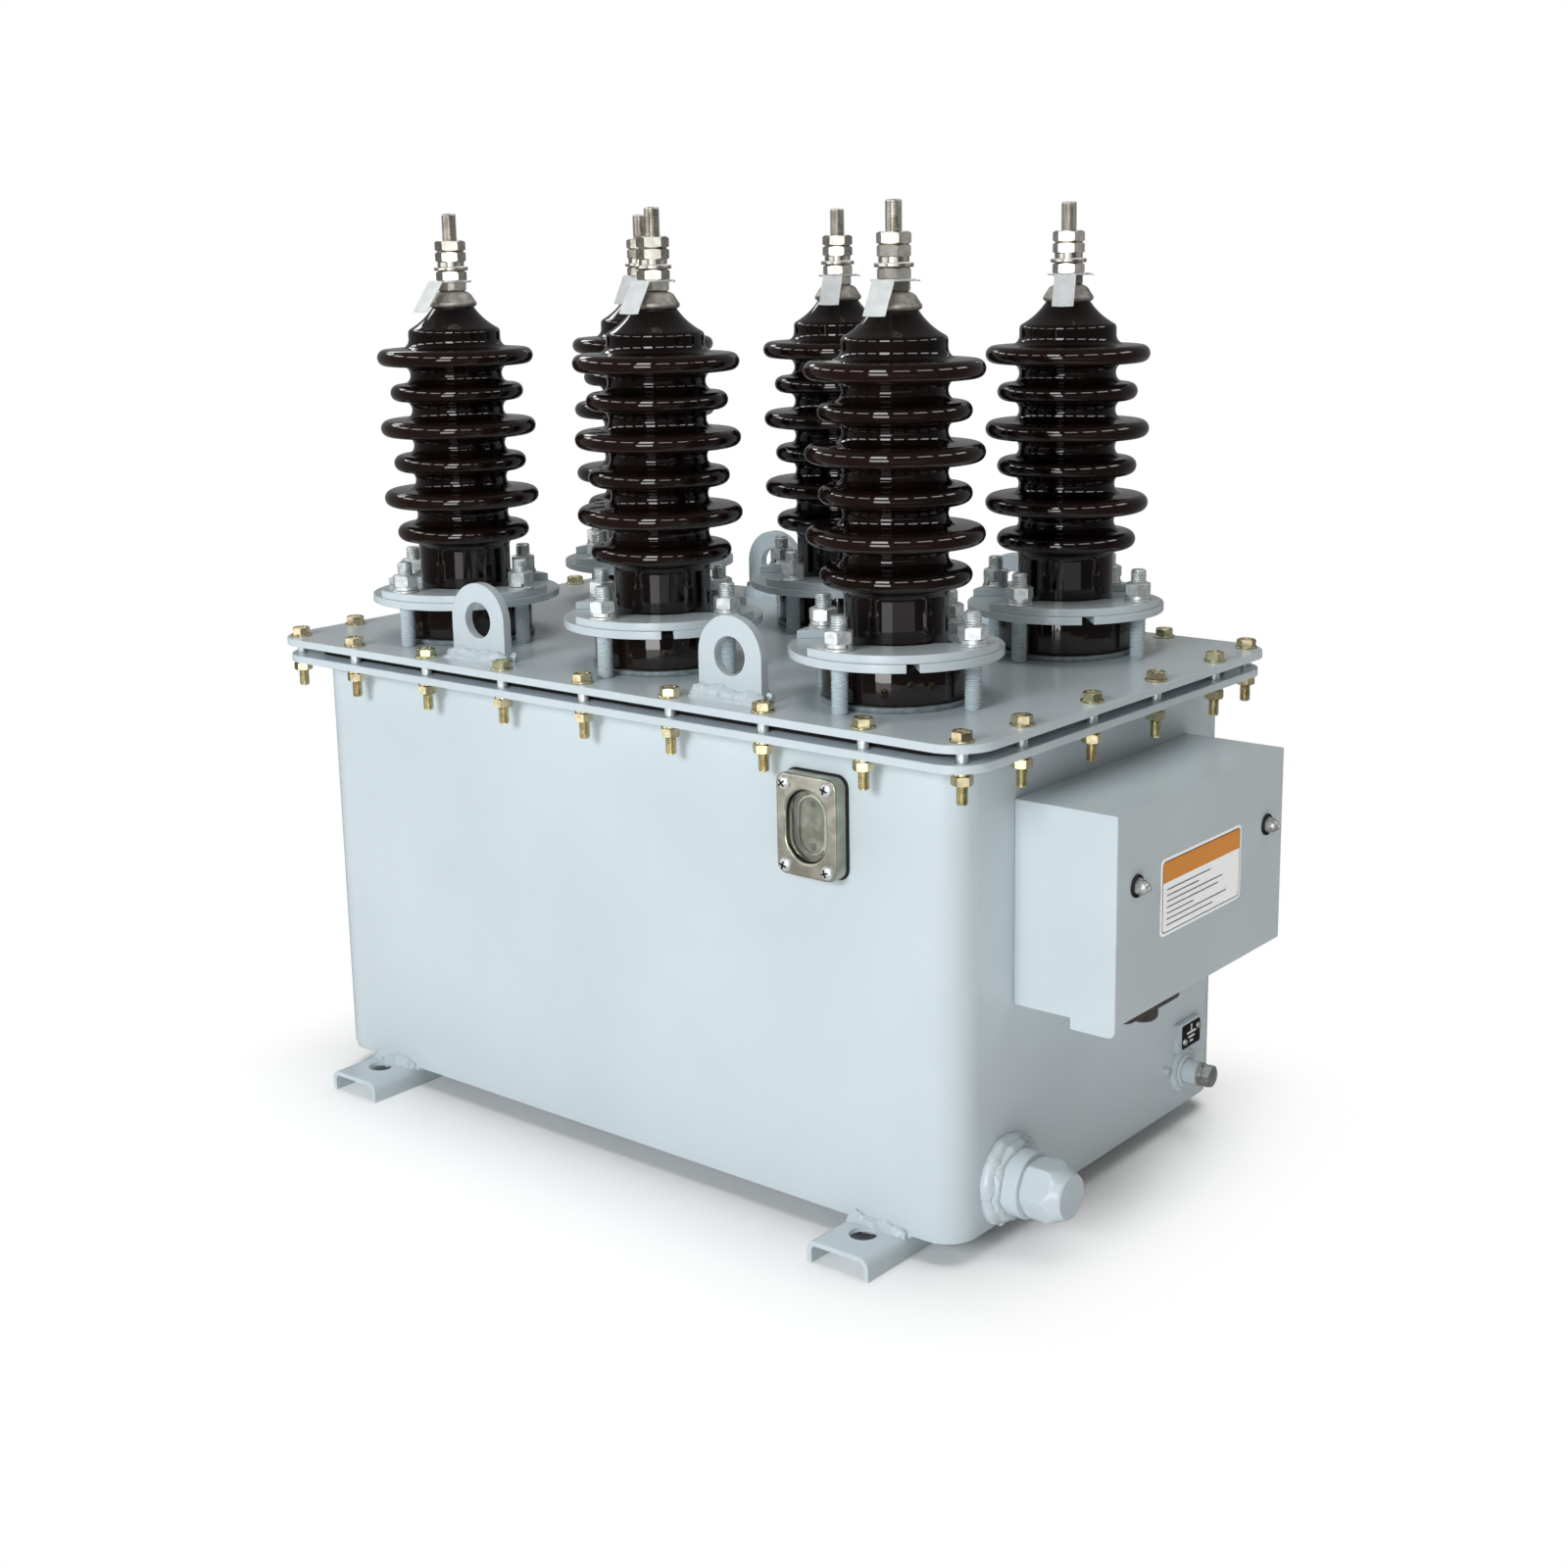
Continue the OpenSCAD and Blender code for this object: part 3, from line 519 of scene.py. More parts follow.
cap = turned([(0, 0)] + arc(cap_lip_r - 2.6 * MM, 2.6 * MM, 2.6 * MM, -90, 50, 8)
             + arc(8.5 * MM, 4 * MM, 8.5 * MM, 40, 88, 6) + [(0, cap_h)])
jam_nut, nut = hexagon(terminal_flats, jam_nut_h), hexagon(terminal_flats, terminal_nut_h)
washer = flat_washer(terminal_washer_r, terminal_d / 2, terminal_washer_t)
split_ring = spring_washer(terminal_spring_r, terminal_d / 2, terminal_spring_t)
stack = [(jam_nut, jam_nut_h, 28), (nut, terminal_nut_h, 48), (washer, terminal_washer_t, 0),
         (split_ring, terminal_spring_t, 200), (nut, terminal_nut_h, 49), (nut, terminal_nut_h, 52)]
nut_turns = dict(front_left=26, front_middle=21, front_right=0, back_left=8, back_middle=11, back_right=4)
rod = threaded_rod(terminal_d, terminal_pitch, free_end + 2 * MM, steps=24)
for name in bushing_names:
    crown = Matrix.Translation(bushing_spots[name] + Vector((0, 0, crown_h)))
    placed = bmesh.new()
    set_down(placed, cap, crown)
    as_piece(placed, f"terminal_{name}_cap", cast_cap)
    hardware = bmesh.new()
    height = cap_h
    for part, part_h, turn in stack:
        wrench = math.radians(turn + nut_turns[name] + random.uniform(-4, 4))
        set_down(hardware, part, crown @ lifted(height, wrench))
        height += part_h
    set_down(hardware, rod, crown @ lifted(height - 2 * MM))
    as_piece(hardware, f"terminal_{name}_stack", tinned_brass, ["terminal_" + name])

# Tags: blank slips of white plastic, tied under the lowest nut of each terminal with stiff thin wire
# that holds them a little off the porcelain's crown.
tag_plastic, tree, shader, coords = new_finish("tag_plastic", {"Roughness": 0.4})
patchy_colour(tree, shader, coords, 8 * MM, 2, "#d6dada", "#e2e5e5")
tag_w, tag_l, tag_t, wire_r = 16 * MM, 29 * MM, 0.7 * MM, 0.7 * MM
tag_turns = dict(front_left=-48, front_middle=-35, front_right=-30, back_left=-30, back_middle=-16,
                 back_right=-16)
view_turn = math.radians(38.87)
tie_z = crown_h + cap_h + jam_nut_h
tie_r = 15 * MM
tie = turned(arc(tie_r, 0, wire_r, 0, 360, 8), steps=36)
tail_wire = bmesh.new()
bmesh.ops.create_cone(tail_wire, cap_ends=True, segments=8, radius1=wire_r, radius2=wire_r, depth=5 * MM)
for name in bushing_names:
    facing = view_turn + math.radians(tag_turns[name]) - math.pi / 2
    spot = Matrix.Translation(bushing_spots[name]) @ Matrix.Rotation(facing, 4, "Z")
    ties = bmesh.new()
    set_down(ties, tie, spot @ Matrix.Translation((0, 0, tie_z)))
    past = Matrix.Translation((-2 * MM, tie_r + 1 * MM, tie_z)) @ Matrix.Rotation(1.4, 4, "X")
    set_down(ties, tail_wire, spot @ past)
    as_piece(ties, f"tag_tie_{name}", zinc)
    slip = bmesh.new()
    bmesh.ops.create_grid(slip, x_segments=6, y_segments=10, size=0.5,
                          matrix=Matrix.Diagonal((tag_l, tag_w, 1, 1)))
    for v in slip.verts:
        v.co.z = 1.2 * MM * math.sin(v.co.x / tag_l * 3) + 0.6 * MM * (2 * v.co.y / tag_w) ** 2
    lean = Matrix.Rotation(math.radians(58), 4, "Y") @ Matrix.Translation((tag_l / 2, 0, 0))
    swing = Matrix.Rotation(math.radians(-0.2 * tag_turns[name]), 4, "Z")
    hung = spot @ Matrix.Translation((tie_r + 0.6 * MM, 0, tie_z + 1 * MM)) @ swing @ lean
    bmesh.ops.transform(slip, matrix=hung, verts=slip.verts)
    bmesh.ops.solidify(slip, geom=slip.faces[:], thickness=tag_t)
    bmesh.ops.recalc_face_normals(slip, faces=slip.faces)
    as_piece(slip, f"tag_{name}", tag_plastic)

# Sight glass: a cast frame with nickel plate, screwed over a rubber gasket on the tank's front,
# with a thick moulded glass in its slot and a steel plate with two oil holes behind it.
nickel, tree, shader, coords = new_finish("nickel_plate", {"Metallic": 1.0, "Roughness": 0.24})
patchy_colour(tree, shader, coords, 14 * MM, 3, "#989689", "#bab8ab")
grain(tree, shader, coords, (4 * MM, 0.03 * MM))
ease_edges("sight_frame_casting", "sight_frame", nickel, 1.6 * MM)
sight_low, sight_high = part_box("sight_frame")
sight_middle = (sight_low + sight_high) / 2
sight_size = sight_high - sight_low
window_w, window_h = 35 * MM, 51 * MM


def out_of_front(x, z, depth):
    """A place on the tank's front, with its own Z pointing out and its Y up."""
    return Matrix.Translation((x, wall_low.y - depth, z)) @ Matrix.Rotation(math.pi / 2, 4, "X")


def round_plate(width, height, thick, corner, edge=0.0):
    """A flat plate that lies on Z = 0, with round corners and, where asked, a rounded front rim."""
    bm = bmesh.new()
    spread = Matrix.Diagonal((width, height, 1, 1))
    bmesh.ops.create_grid(bm, x_segments=1, y_segments=1, size=0.5, matrix=spread)
    bmesh.ops.bevel(bm, geom=bm.verts[:], offset=corner, offset_type="OFFSET", affect="VERTICES",
                    segments=10, profile=0.5, material=-1)
    grown = bmesh.ops.extrude_face_region(bm, geom=bm.faces[:])
    top = [v for v in grown["geom"] if isinstance(v, bmesh.types.BMVert)]
    bmesh.ops.translate(bm, vec=(0, 0, thick), verts=top)
    bmesh.ops.recalc_face_normals(bm, faces=bm.faces)
    if edge:
        rim = [e for e in bm.edges if all(v.co.z > thick / 2 for v in e.verts)]
        bmesh.ops.bevel(bm, geom=rim, offset=edge, offset_type="OFFSET", affect="EDGES", segments=4,
                        profile=0.5, material=-1)
    return bm


def on_front(name, finish, part, depth, nodes=()):
    """Sets one part of the sight glass down at a depth out of the tank's front."""
    placed = bmesh.new()
    set_down(placed, part, out_of_front(sight_middle.x, sight_middle.z, depth))
    as_piece(placed, name, finish, nodes)


glass, tree, shader, coords = new_finish("clear_glass", {"Transmission Weight": 1.0, "Roughness": 0.02,
                                                         "IOR": 1.5})
patchy_colour(tree, shader, coords, 20 * MM, 2, "#dde2dc", "#edf1ec")
oil_plate, tree, shader, coords = new_finish("oiled_steel", {"Metallic": 0.6, "Roughness": 0.4})
patchy_colour(tree, shader, coords, 9 * MM, 4, "#67645a", "#8f8c7f")
# Flat near-black marks for the oil holes and the screws' cross slots: painted shade for their depth.
painted_recess_shade, tree, shader, coords = new_finish("painted_recess_shade", {"Roughness": 0.2})
patchy_colour(tree, shader, coords, 6 * MM, 2, "#120e0a", "#1d1711")
pane_w, pane_h = window_w - 1 * MM, window_h - 1 * MM
slot_end = 0.02 * MM
lens = round_plate(pane_w, pane_h, 6 * MM, pane_w / 2 - slot_end, 2 * MM)
on_front("sight_glass_lens", glass, lens, 5 * MM, ["sight_pane"])
back_plate = round_plate(pane_w, pane_h, 1 * MM, pane_w / 2 - slot_end)
on_front("sight_back_plate", oil_plate, back_plate, 0.5 * MM)
boss = round_plate(25 * MM, 42 * MM, 3 * MM, 12.5 * MM - slot_end, 0.8 * MM)
top = [f for f in boss.faces if f.calc_center_median().z > 2.9 * MM]
sink_face(boss, top, 1.2 * MM, 1.2 * MM, 1.8 * MM)
on_front("sight_inner_rim", nickel, boss, 1.5 * MM)
inner_plate = round_plate(21 * MM, 38 * MM, 0.3 * MM, 10.5 * MM - slot_end)
on_front("sight_inner_plate", oil_plate, inner_plate, 2.6 * MM)
# The oil holes are flat dark discs laid on the plate: painted shade for the holes.
oil_holes = bmesh.new()
for lift, hole_r in ((-15 * MM, 3 * MM), (14 * MM, 2.2 * MM)):
    spot = out_of_front(sight_middle.x, sight_middle.z + lift, 2.8 * MM)
    set_down(oil_holes, turned([(0, 0), (hole_r, 0), (hole_r, 0.3 * MM), (0, 0.3 * MM)], steps=20), spot)
as_piece(oil_holes, "sight_oil_holes", painted_recess_shade)
gasket = round_plate(sight_size.x + 2 * MM, sight_size.z + 2 * MM, 1.4 * MM, 9 * MM)
on_front("sight_gasket", cork, gasket, 0)
screw_x, screw_z, screw_r = 18.2 * MM, 29 * MM, 4.9 * MM
screw = turned([(0, -1 * MM), (screw_r, -1 * MM), (screw_r, 0.8 * MM)]
               + arc(0, 0.8 * MM - screw_r * 0.62, screw_r * 1.178, 32, 90, 6), steps=28)
# Each screw's cross slot is a dark bar laid on its dome: painted shade for the recess.
bar = bmesh.new()
bmesh.ops.create_cube(bar, size=1, matrix=Matrix.Diagonal((5.6 * MM, 1.1 * MM, 1.2 * MM, 1)))
screws, crosses = bmesh.new(), bmesh.new()
for sx in (-1, 1):
    for sz in (-1, 1):
        spot = out_of_front(sight_middle.x + sx * screw_x, sight_middle.z + sz * screw_z, sight_size.y)
        set_down(screws, screw, spot)
        for quarter in range(2):
            set_down(crosses, bar, spot @ lifted(3.2 * MM, 0.5 + sx * 0.3 + sz * 0.5 + quarter * math.pi / 2))
as_piece(screws, "sight_screws", zinc)
as_piece(crosses, "sight_screw_slots", painted_recess_shade)

# Terminal box: a cover folded from thin sheet, painted, held to the tank's end by two posts.
# A dark rubber ring and a plated cap nut close each post on the cover's face.
ease_edges("box_cover_sheet", "box_cover", enamel, 0.9 * MM)
box_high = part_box("box_cover")[1]
post_low, post_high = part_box("box_posts")
post_r = 4 * MM


def out_of_end(y, z, x):
    """A place that stands out of the right end, with its own Z along +X and its Y up."""
    return Matrix.Translation((x, y, z)) @ Vector((1, 0, 0)).to_track_quat("Z", "Y").to_matrix().to_4x4()


bright_steel, tree, shader, coords = new_finish("bright_steel", {"Metallic": 0.7, "Roughness": 0.28})
patchy_colour(tree, shader, coords, 5 * MM, 3, "#a6a7a4", "#c9cac6")
black_rubber, tree, shader, coords = new_finish("black_rubber", {"Roughness": 0.6})
patchy_colour(tree, shader, coords, 3 * MM, 3, "#121212", "#1f1f1f")
cap_nuts, rubber_rings = bmesh.new(), bmesh.new()
post_z = (post_low.z + post_high.z) / 2
dome = turned([(5.2 * MM, 0), (5.2 * MM, 1.5 * MM)] + arc(0, 1.5 * MM, 4.6 * MM, 0, 65, 7)
              + arc(0, 5.8 * MM, 1.6 * MM, 10, 90, 5), steps=28)
for y in (post_low.y + post_r, post_high.y - post_r):
    rubber_ring = flat_washer(8 * MM, post_r, 1.8 * MM)
    set_down(rubber_rings, rubber_ring, out_of_end(y, post_z, box_high.x - 0.2 * MM))
    set_down(cap_nuts, hexagon(10.5 * MM, 3.5 * MM), out_of_end(y, post_z, box_high.x + 1.2 * MM))
    set_down(cap_nuts, dome, out_of_end(y, post_z, box_high.x + 4.2 * MM))
as_piece(rubber_rings, "box_rubber_rings", black_rubber)
as_piece(cap_nuts, "box_cap_nuts", bright_steel)

# Card on the cover: a thin slip of plastic with round corners, a dark line inside its margin, a coloured
# head band and plain ruled lines. Each layer glows faintly in its own colour: a painted glow that keeps
# the card pale in the shade.
# It carries no words and no signs.
card_w, card_h = 115 * MM, 55 * MM
card_y, card_z = -0.3 * MM, 249 * MM


def card_layer(name, colour, width, height, lift, across=0.0, along=0.0, corner=0.3 * MM):
    """One thin layer of the card in one colour, with its middle off the card's own middle."""
    # The emission in the layer's own colour is a painted glow, so that the card stays pale in the shade.
    sockets = {"Roughness": 0.35, "Base Color": linear(colour), "Emission Color": linear(colour),
               "Emission Strength": 0.2}
    layer, tree, shader, coords = new_finish(name, sockets)
    grain(tree, shader, coords, (9 * MM, 0.01 * MM))
    bm = bmesh.new()
    spot = out_of_end(card_y, card_z, box_high.x) @ Matrix.Translation((across, along, 0))
    set_down(bm, round_plate(width, height, lift, corner), spot)
    as_piece(bm, name, layer)


card_layer("card_sheet", "#f2f4f4", card_w, card_h, 0.30 * MM, corner=4.5 * MM)
card_layer("card_line", "#2b2d2e", card_w - 4 * MM, card_h - 4 * MM, 0.36 * MM, corner=3.2 * MM)
card_layer("card_field", "#f2f4f4", card_w - 5.6 * MM, card_h - 5.6 * MM, 0.42 * MM, corner=2.6 * MM)
card_layer("card_band", "#d58a38", card_w - 5.6 * MM, 14.5 * MM, 0.48 * MM, along=card_h / 2 - 10 * MM)
rule_left = 8 * MM - card_w / 2
for i, length_share in enumerate((0.62, 0.45, 0.8, 0.74, 0.38, 0.86, 0.66)):
    length = length_share * (card_w - 16 * MM)
    card_layer(f"card_rule_{i}", "#5f6466", length, 1 * MM, 0.48 * MM, across=rule_left + length / 2,
               along=card_h / 2 - 22.5 * MM - i * 4.2 * MM)

# Cable outlet: a moulded brown rubber plate and a short round gland under the box.
# The gland's bore is left open for the meter cable.
brown_rubber, tree, shader, coords = new_finish("brown_rubber", {"Roughness": 0.35})
patchy_colour(tree, shader, coords, 10 * MM, 3, "#47413e", "#625a56")
ease_edges("cable_outlet_plate", "cable_outlet", brown_rubber, 1.5 * MM)
ease_edges("cable_gland_ring", "cable_gland", brown_rubber, 0.8 * MM)

# Drain: a steel boss welded into the tank's end, and a cast plug with a hexagon and a taper cap.
# All of it is painted with the tank, and the weld round the boss is coarse.
ease_edges("drain_boss_ring", "drain_boss", enamel, 1.4 * MM)
boss_low, boss_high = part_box("drain_boss")
boss_r = (boss_high.y - boss_low.y) / 2
boss_middle = (boss_low + boss_high) / 2
plug = bmesh.new()
plug_flats = 38 * MM
plug_rings = []
for height, limit in ((0, 20), (1, 21), (2, 22), (17, 22), (18.5, 21.3), (20, 20.6), (21.5, 19.8),
                      (23, 19), (24.5, 18.2), (26, 17.5), (28, 16.7), (29.4, 16), (30, 15.3)):
    ring = bmesh.ops.create_circle(plug, segments=72, radius=limit * MM, cap_ends=height in (0, 30),
                                   matrix=Matrix.Translation((0, 0, height * MM)))["verts"]
    for v in ring:
        off = math.atan2(v.co.y, v.co.x) % (math.pi / 3) - math.pi / 6
        v.co.xy *= min(1, plug_flats / 2 / math.cos(off) / (limit * MM))
    plug_rings.append(ring)
join_rings(plug, plug_rings)
bmesh.ops.transform(plug, matrix=out_of_end(boss_middle.y, boss_middle.z, boss_high.x), verts=plug.verts)
as_piece(plug, "drain_plug_casting", enamel, ["drain_plug"])


def ring_seam(middle, radius, x):
    """Points round a boss on the tank's end, half a ripple apart."""
    steps = round(4 * math.pi * radius / ripple_pitch)
    angles = [2 * math.pi * i / steps for i in range(steps)]
    return [Vector((x, middle.y + radius * math.cos(a), middle.z + radius * math.sin(a))) for a in angles]


end_seams = bmesh.new()
for reach, out, radius in ((3 * MM, 2 * MM, 6 * MM), (0.5 * MM, 7 * MM, 4.5 * MM)):
    lay_weld(end_seams, ring_seam(boss_middle, boss_r + reach, wall_high.x + out), radius, closed=True)

# Earth terminal: a flared steel boss welded on the tank's end with a broad, lumpy weld, and a
# plain steel bolt with washers in its tapped hole.
put_on(enamel, "earth_boss")
earth_low, earth_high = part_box("earth_boss")
earth_middle = (earth_low + earth_high) / 2
earth_r = (earth_high.y - earth_low.y) / 2
lay_weld(end_seams, ring_seam(earth_middle, earth_r - 1 * MM, wall_high.x + 0.5 * MM), 3.5 * MM, closed=True)
lay_weld(end_seams, ring_seam(earth_middle, earth_r - 5 * MM, wall_high.x + 3.5 * MM), 2.5 * MM, closed=True)
splash = Vector((wall_high.x, earth_middle.y - 30 * MM, earth_middle.z + 8 * MM))
lay_weld(end_seams, straight_seam(splash, splash + Vector((0, 9 * MM, -2 * MM))), 3 * MM)
as_piece(end_seams, "end_seams", enamel)
earth_bolt = bmesh.new()
for part, out, turn in ((flat_washer(9.5 * MM, 5 * MM, 2 * MM), 0, 0),
                        (spring_washer(8.5 * MM, 5 * MM, 2.2 * MM), 2 * MM, 2),
                        (hexagon(16 * MM, 6.5 * MM, dish=0.6 * MM), 4.2 * MM, 0.3)):
    spot = out_of_end(earth_middle.y, earth_middle.z, earth_high.x + out)
    set_down(earth_bolt, part, spot @ lifted(0, turn))
as_piece(earth_bolt, "earth_bolt", bright_steel)

# Earth plate: a small pad of painted steel over the earth terminal, with a black plate riveted on
# it that bears the plain earth sign: a stem and three bars.
plate_w, plate_h = 36 * MM, 23 * MM
plate_y, plate_z = 129 * MM, 77 * MM
plate_shift = 1.5 * MM


def end_plate(name, finish, width, height, low, thick, corner, across=0.0, along=0.0):
    """A flat plate with round corners on the tank's end, over the earth terminal."""
    bm = bmesh.new()
    spot = out_of_end(plate_y, plate_z, wall_high.x + low) @ Matrix.Translation((across, along, 0))
    set_down(bm, round_plate(width, height, thick, corner), spot)
    as_piece(bm, name, finish)


black_plate, tree, shader, coords = new_finish("black_plate", {"Roughness": 0.4})
patchy_colour(tree, shader, coords, 8 * MM, 2, "#0e0e0f", "#18181a")
white_ink, tree, shader, coords = new_finish("white_ink", {"Roughness": 0.5})
patchy_colour(tree, shader, coords, 8 * MM, 2, "#e8eaea", "#f2f3f3")
end_plate("earth_pad", enamel, plate_w, plate_h, 0, 4.2 * MM, 1.5 * MM)
end_plate("earth_plate", black_plate, plate_w - 8 * MM, plate_h - 4 * MM, 4.2 * MM, 0.5 * MM, 1.5 * MM,
          across=plate_shift)
end_plate("earth_sign_stem", white_ink, 1.8 * MM, 6.5 * MM, 4.7 * MM, 0.2 * MM, 0.3 * MM, across=plate_shift,
          along=5 * MM)
for i in range(3):
    end_plate(f"earth_sign_bar_{i}", white_ink, (14 - 4.5 * i) * MM, 1.7 * MM, 4.7 * MM, 0.2 * MM, 0.3 * MM,
              across=plate_shift, along=(1.8 - 3.6 * i) * MM)
rivets = bmesh.new()
rivet = turned([(2.6 * MM, 0)] + arc(0, 0, 2.6 * MM, 20, 90, 6), steps=20)
for side in (-1, 1):
    across = plate_y + plate_shift + side * 10.5 * MM
    set_down(rivets, rivet, out_of_end(across, plate_z + side * 4 * MM, wall_high.x + 4.6 * MM))
as_piece(rivets, "earth_plate_rivets", bright_steel)

# Stage: a plain white floor that fades into a white background. A lamp overhead lights the floor
# alone, and draws on it the soft shadow of the tank and its feet.
floor_half = 12.0
floor_mesh = bmesh.new()
bmesh.ops.create_grid(floor_mesh, x_segments=1, y_segments=1, size=floor_half)


def as_stage(bm, name, finish):
    """Makes a part of the studio of a mesh."""
    mesh = bpy.data.meshes.new(name)
    bm.to_mesh(mesh)
    bm.free()
    mesh.materials.append(finish)
    made = bpy.data.objects.new(name, mesh)
    bpy.context.collection.objects.link(made)
    return made


def seen_directly(tree):
    """One for rays from the camera, a reflection or glass, and zero for light that bounces."""
    path = add_node(tree, "LightPath", {})
    seen = path.outputs["Is Camera Ray"]
    for other in ("Is Glossy Ray", "Is Transmission Ray"):
        seen = add_node(tree, "Math", {0: seen, 1: path.outputs[other]}, operation="MAXIMUM").outputs[0]
    return seen


paper, tree, shader, coords = new_finish("white_paper", {"Roughness": 0.9, "Base Color": linear("#f0f0f0")})
shader.inputs["Specular IOR Level"].default_value = 0.0
tank_middle = (wall_low + wall_high) / 2 + Vector((-30 * MM, -20 * MM, 0))
footprint = ((wall_high.x - wall_low.x) / 2, (wall_high.y - wall_low.y) / 2, 1.0)
apart = add_node(tree, "VectorMath", {0: coords, 1: tank_middle}, operation="SUBTRACT")
apart = add_node(tree, "VectorMath", {0: apart.outputs[0]}, operation="ABSOLUTE")
apart = add_node(tree, "VectorMath", {0: apart.outputs[0], 1: footprint}, operation="SUBTRACT")
apart = add_node(tree, "VectorMath", {0: apart.outputs[0], 1: (0, 0, 0)}, operation="MAXIMUM")
apart = add_node(tree, "VectorMath", {0: apart.outputs[0]}, operation="LENGTH")
fade = add_node(tree, "MapRange", {"Value": apart.outputs["Value"], "From Min": 0.0, "From Max": 0.18,
                                   "To Min": 0.0, "To Max": 1.0}, interpolation_type="SMOOTHSTEP")
share = add_node(tree, "Math", {0: seen_directly(tree), 1: fade.outputs[0]}, operation="MULTIPLY")
white = add_node(tree, "Emission", {"Color": linear("#ffffff"), "Strength": 1.0})
both = add_node(tree, "MixShader", {0: share.outputs[0], 1: shader.outputs[0], 2: white.outputs[0]})
tree.links.new(both.outputs[0], tree.nodes["Material Output"].inputs["Surface"])
floor = as_stage(floor_mesh, "studio_floor", paper)


def hang_lamp(name, kind, place, aim, watts, **settings):
    """Hangs a soft lamp that faces a point."""
    light = bpy.data.lights.new(name, kind)
    light.energy = watts
    for setting, value in settings.items():
        setattr(light, setting, value)
    lamp = bpy.data.objects.new(name, light)
    lamp.location = place
    lamp.rotation_mode = "QUATERNION"
    lamp.rotation_quaternion = (Vector(aim) - Vector(place)).to_track_quat("-Z", "Y")
    lamp.visible_camera = lamp.visible_glossy = False
    bpy.context.collection.objects.link(lamp)
    return lamp


floor_lamp = hang_lamp("floor_lamp", "SUN", (-0.1, 0.3, 2.0), (0, 0, 0), 1.6, angle=math.radians(50))
floor_only, tank_only = (bpy.data.collections.new(name) for name in ("floor_only", "tank_only"))
floor_only.objects.link(floor)
for name in ("tank_wall", "tank_floor", "foot_left", "foot_right", "drain_plug"):
    tank_only.objects.link(frame["nodes"][name])
floor_lamp.light_linking.receiver_collection = floor_only
floor_lamp.light_linking.blocker_collection = tank_only

# Light: an even, faintly warm world, a large soft lamp in front and one overhead. Five more lamps
# stand round the object for metal and glass alone, which mirror them.
world = bpy.data.worlds.new("studio")
bpy.context.scene.world = world
world.use_nodes = True
tree = world.node_tree
seen = seen_directly(tree)
level = add_node(tree, "MapRange", {"Value": seen, "To Min": 0.18, "To Max": 1.0})
tint = add_node(tree, "Mix", {0: seen, 6: linear("#fff3ea"), 7: linear("#ffffff")}, data_type="RGBA")
tree.links.new(level.outputs[0], tree.nodes["Background"].inputs["Strength"])
tree.links.new(tint.outputs[2], tree.nodes["Background"].inputs["Color"])
hang_lamp("key_lamp", "AREA", (0.4, -6.0, 2.6), (0, 0, 0.3), 222, shape="RECTANGLE", size=2.4, size_y=1.8,
          color=(0.95, 1.0, 1.03))
hang_lamp("top_lamp", "SUN", (-0.1, 0.1, 2.0), (0, 0, 0), 0.95, angle=math.radians(50))
metal_only = bpy.data.collections.new("metal_only")
metals = (yellow_zinc, zinc, tinned_brass, cast_cap, nickel, bright_steel, glass)
for piece in bpy.context.collection.objects:
    if piece.type == "MESH" and piece.data.materials[0] in metals:
        metal_only.objects.link(piece)
for side, place, aim, watts, size in (("left", (-0.65, -1.2, 0.6), (0, 0, 0.6), 6.3, 1.2),
                                      ("front", (0.9, -1.1, 0.5), (0, 0, 0.5), 4.0, 1.1),
                                      ("right", (1.2, 0.75, 0.6), (0, 0, 0.6), 1.3, 1.2),
                                      ("high", (-0.1, 0.2, 1.5), (0, 0, 0.6), 7.0, 1.6),
                                      ("low", (0.1, -1.1, 0.02), (0.1, -1.1, 1), 6.0, 2.0)):
    metal_lamp = hang_lamp(f"metal_lamp_{side}", "AREA", place, aim, watts, shape="SQUARE", size=size)
    metal_lamp.visible_glossy = True
    metal_lamp.light_linking.receiver_collection = metal_only

# Flags: a dark tent round the object that only reflections see, so that glaze and metal look dark
# and crisp as in a workshop. It has a row of high windows and a bright door with a transom.
tent_r = 1.75
backdrop = Vector((-math.sin(view_turn), math.cos(view_turn), 0))
tent_cloth, tree, shader, coords = new_finish("tent_cloth", {})
toward = add_node(tree, "VectorMath", {0: coords, 1: backdrop / tent_r}, operation="DOT_PRODUCT")
dim = add_node(tree, "MapRange", {"Value": toward.outputs["Value"], "From Min": -0.2, "From Max": 0.9,
                                  "To Min": 0.07, "To Max": 0.26})
cloth_glow = add_node(tree, "Emission", {"Strength": dim.outputs[0]})
tree.links.new(cloth_glow.outputs[0], tree.nodes["Material Output"].inputs["Surface"])
tent = bmesh.new()
bmesh.ops.create_uvsphere(tent, u_segments=48, v_segments=24, radius=tent_r)
bmesh.ops.delete(tent, geom=[v for v in tent.verts if v.co.z < -0.01], context="VERTS")
just_above_floor = Matrix.Translation((0, 0, 2 * MM))
bmesh.ops.create_circle(tent, cap_ends=True, segments=48, radius=tent_r, matrix=just_above_floor)


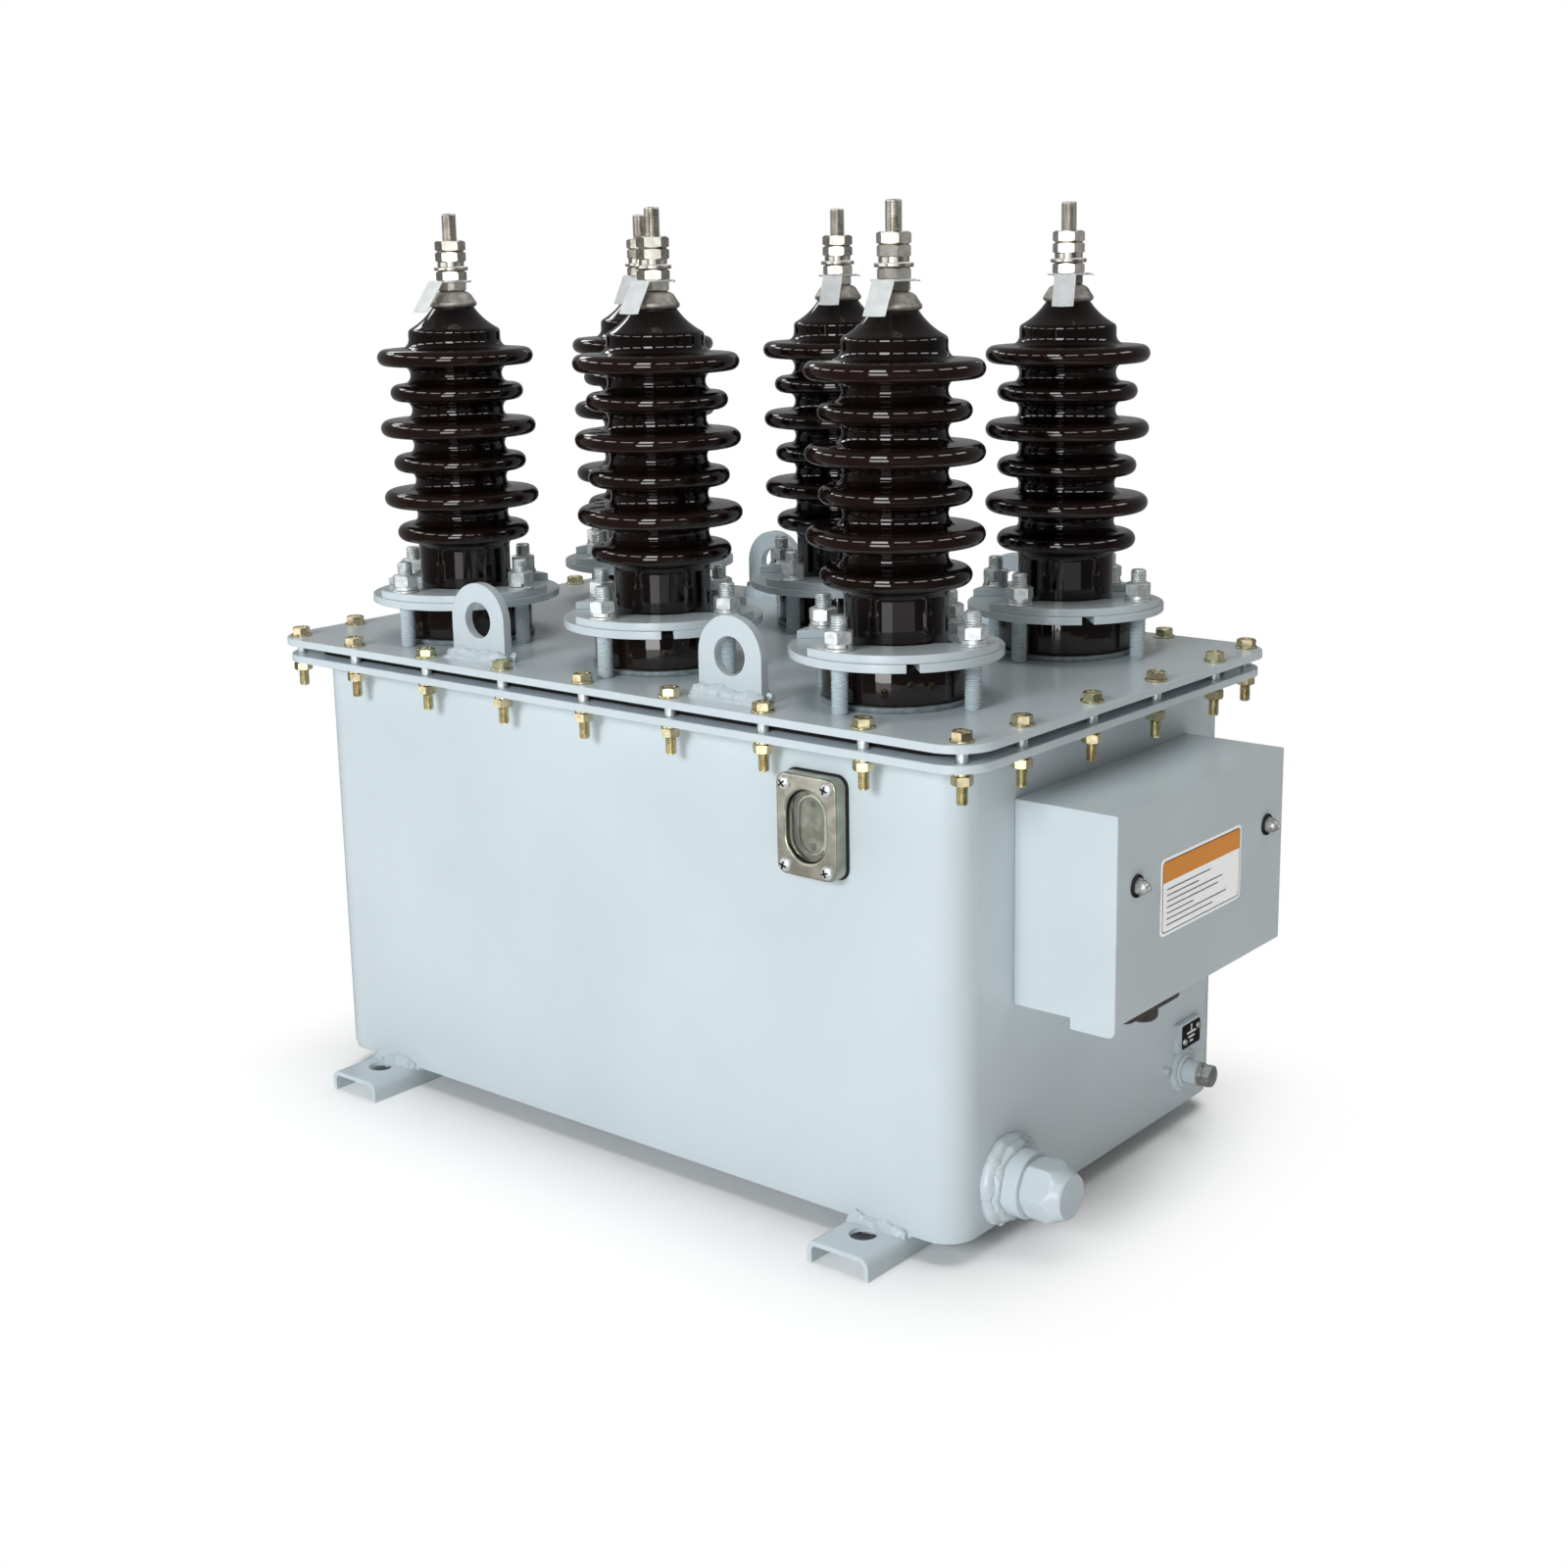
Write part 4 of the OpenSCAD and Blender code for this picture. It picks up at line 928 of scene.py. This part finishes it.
def tent_windows(name, strength, middles, width, low, high):
    """A row of equal windows in the tent: their azimuths, a width and two elevations in degrees."""
    pane, tree, shader, coords = new_finish(name, {})
    glow = add_node(tree, "Emission", {"Strength": strength})
    tree.links.new(glow.outputs[0], tree.nodes["Material Output"].inputs["Surface"])
    bm = bmesh.new()
    for middle in middles:
        corners = [(middle - width / 2, low), (middle + width / 2, low), (middle + width / 2, high),
                   (middle - width / 2, high)]
        turns = [(math.radians(a), math.radians(e)) for a, e in corners]
        ways = [Vector((math.cos(e) * math.cos(a), math.cos(e) * math.sin(a), math.sin(e))) for a, e in turns]
        bm.faces.new([bm.verts.new(0.97 * tent_r * way) for way in ways])
    return as_stage(bm, name, pane)


for flag in (as_stage(tent, "dark_tent", tent_cloth),
             tent_windows("high_windows", 4.2, [*range(-198, -84, 26), *range(-42, 50, 26)], 18, 40, 47),
             tent_windows("door", 1.5, [-68], 21, 0.3, 5.5), tent_windows("glow", 0.5, [-36], 42, 0.3, 5),
             tent_windows("door_light", 6.0, [-68], 21, 5.5, 22),
             tent_windows("transom", 8.0, [-68], 19, 37, 52)):
    flag.visible_camera = flag.visible_diffuse = flag.visible_transmission = flag.visible_shadow = False

# Camera: where the photograph was taken from, found from the edges of the lid, the tank and the box.
# Its lens is shifted, because the object's middle isn't the middle of the lens's own picture.
elevation, roll = math.radians(11.96), math.radians(-0.86)
back = Vector((math.sin(view_turn) * math.cos(elevation), -math.cos(view_turn) * math.cos(elevation),
               math.sin(elevation)))
right = Vector((math.cos(view_turn), math.sin(view_turn), 0))
up = back.cross(right)
tilted_right = math.cos(roll) * right + math.sin(roll) * up
tilted_up = math.cos(roll) * up - math.sin(roll) * right
camera_data = bpy.data.cameras.new("camera")
camera_data.sensor_width, camera_data.lens = 36, 48.11
camera_data.shift_x, camera_data.shift_y = -0.0186, -0.0579
camera = bpy.data.objects.new("camera", camera_data)
turn = Matrix((tilted_right, tilted_up, back)).transposed().to_4x4()
camera.matrix_world = Matrix.Translation(Vector((1047.49, -1262.22, 683.49)) * MM) @ turn
bpy.context.collection.objects.link(camera)
bpy.context.scene.camera = camera

bpy.context.scene.view_settings.view_transform = "Standard"
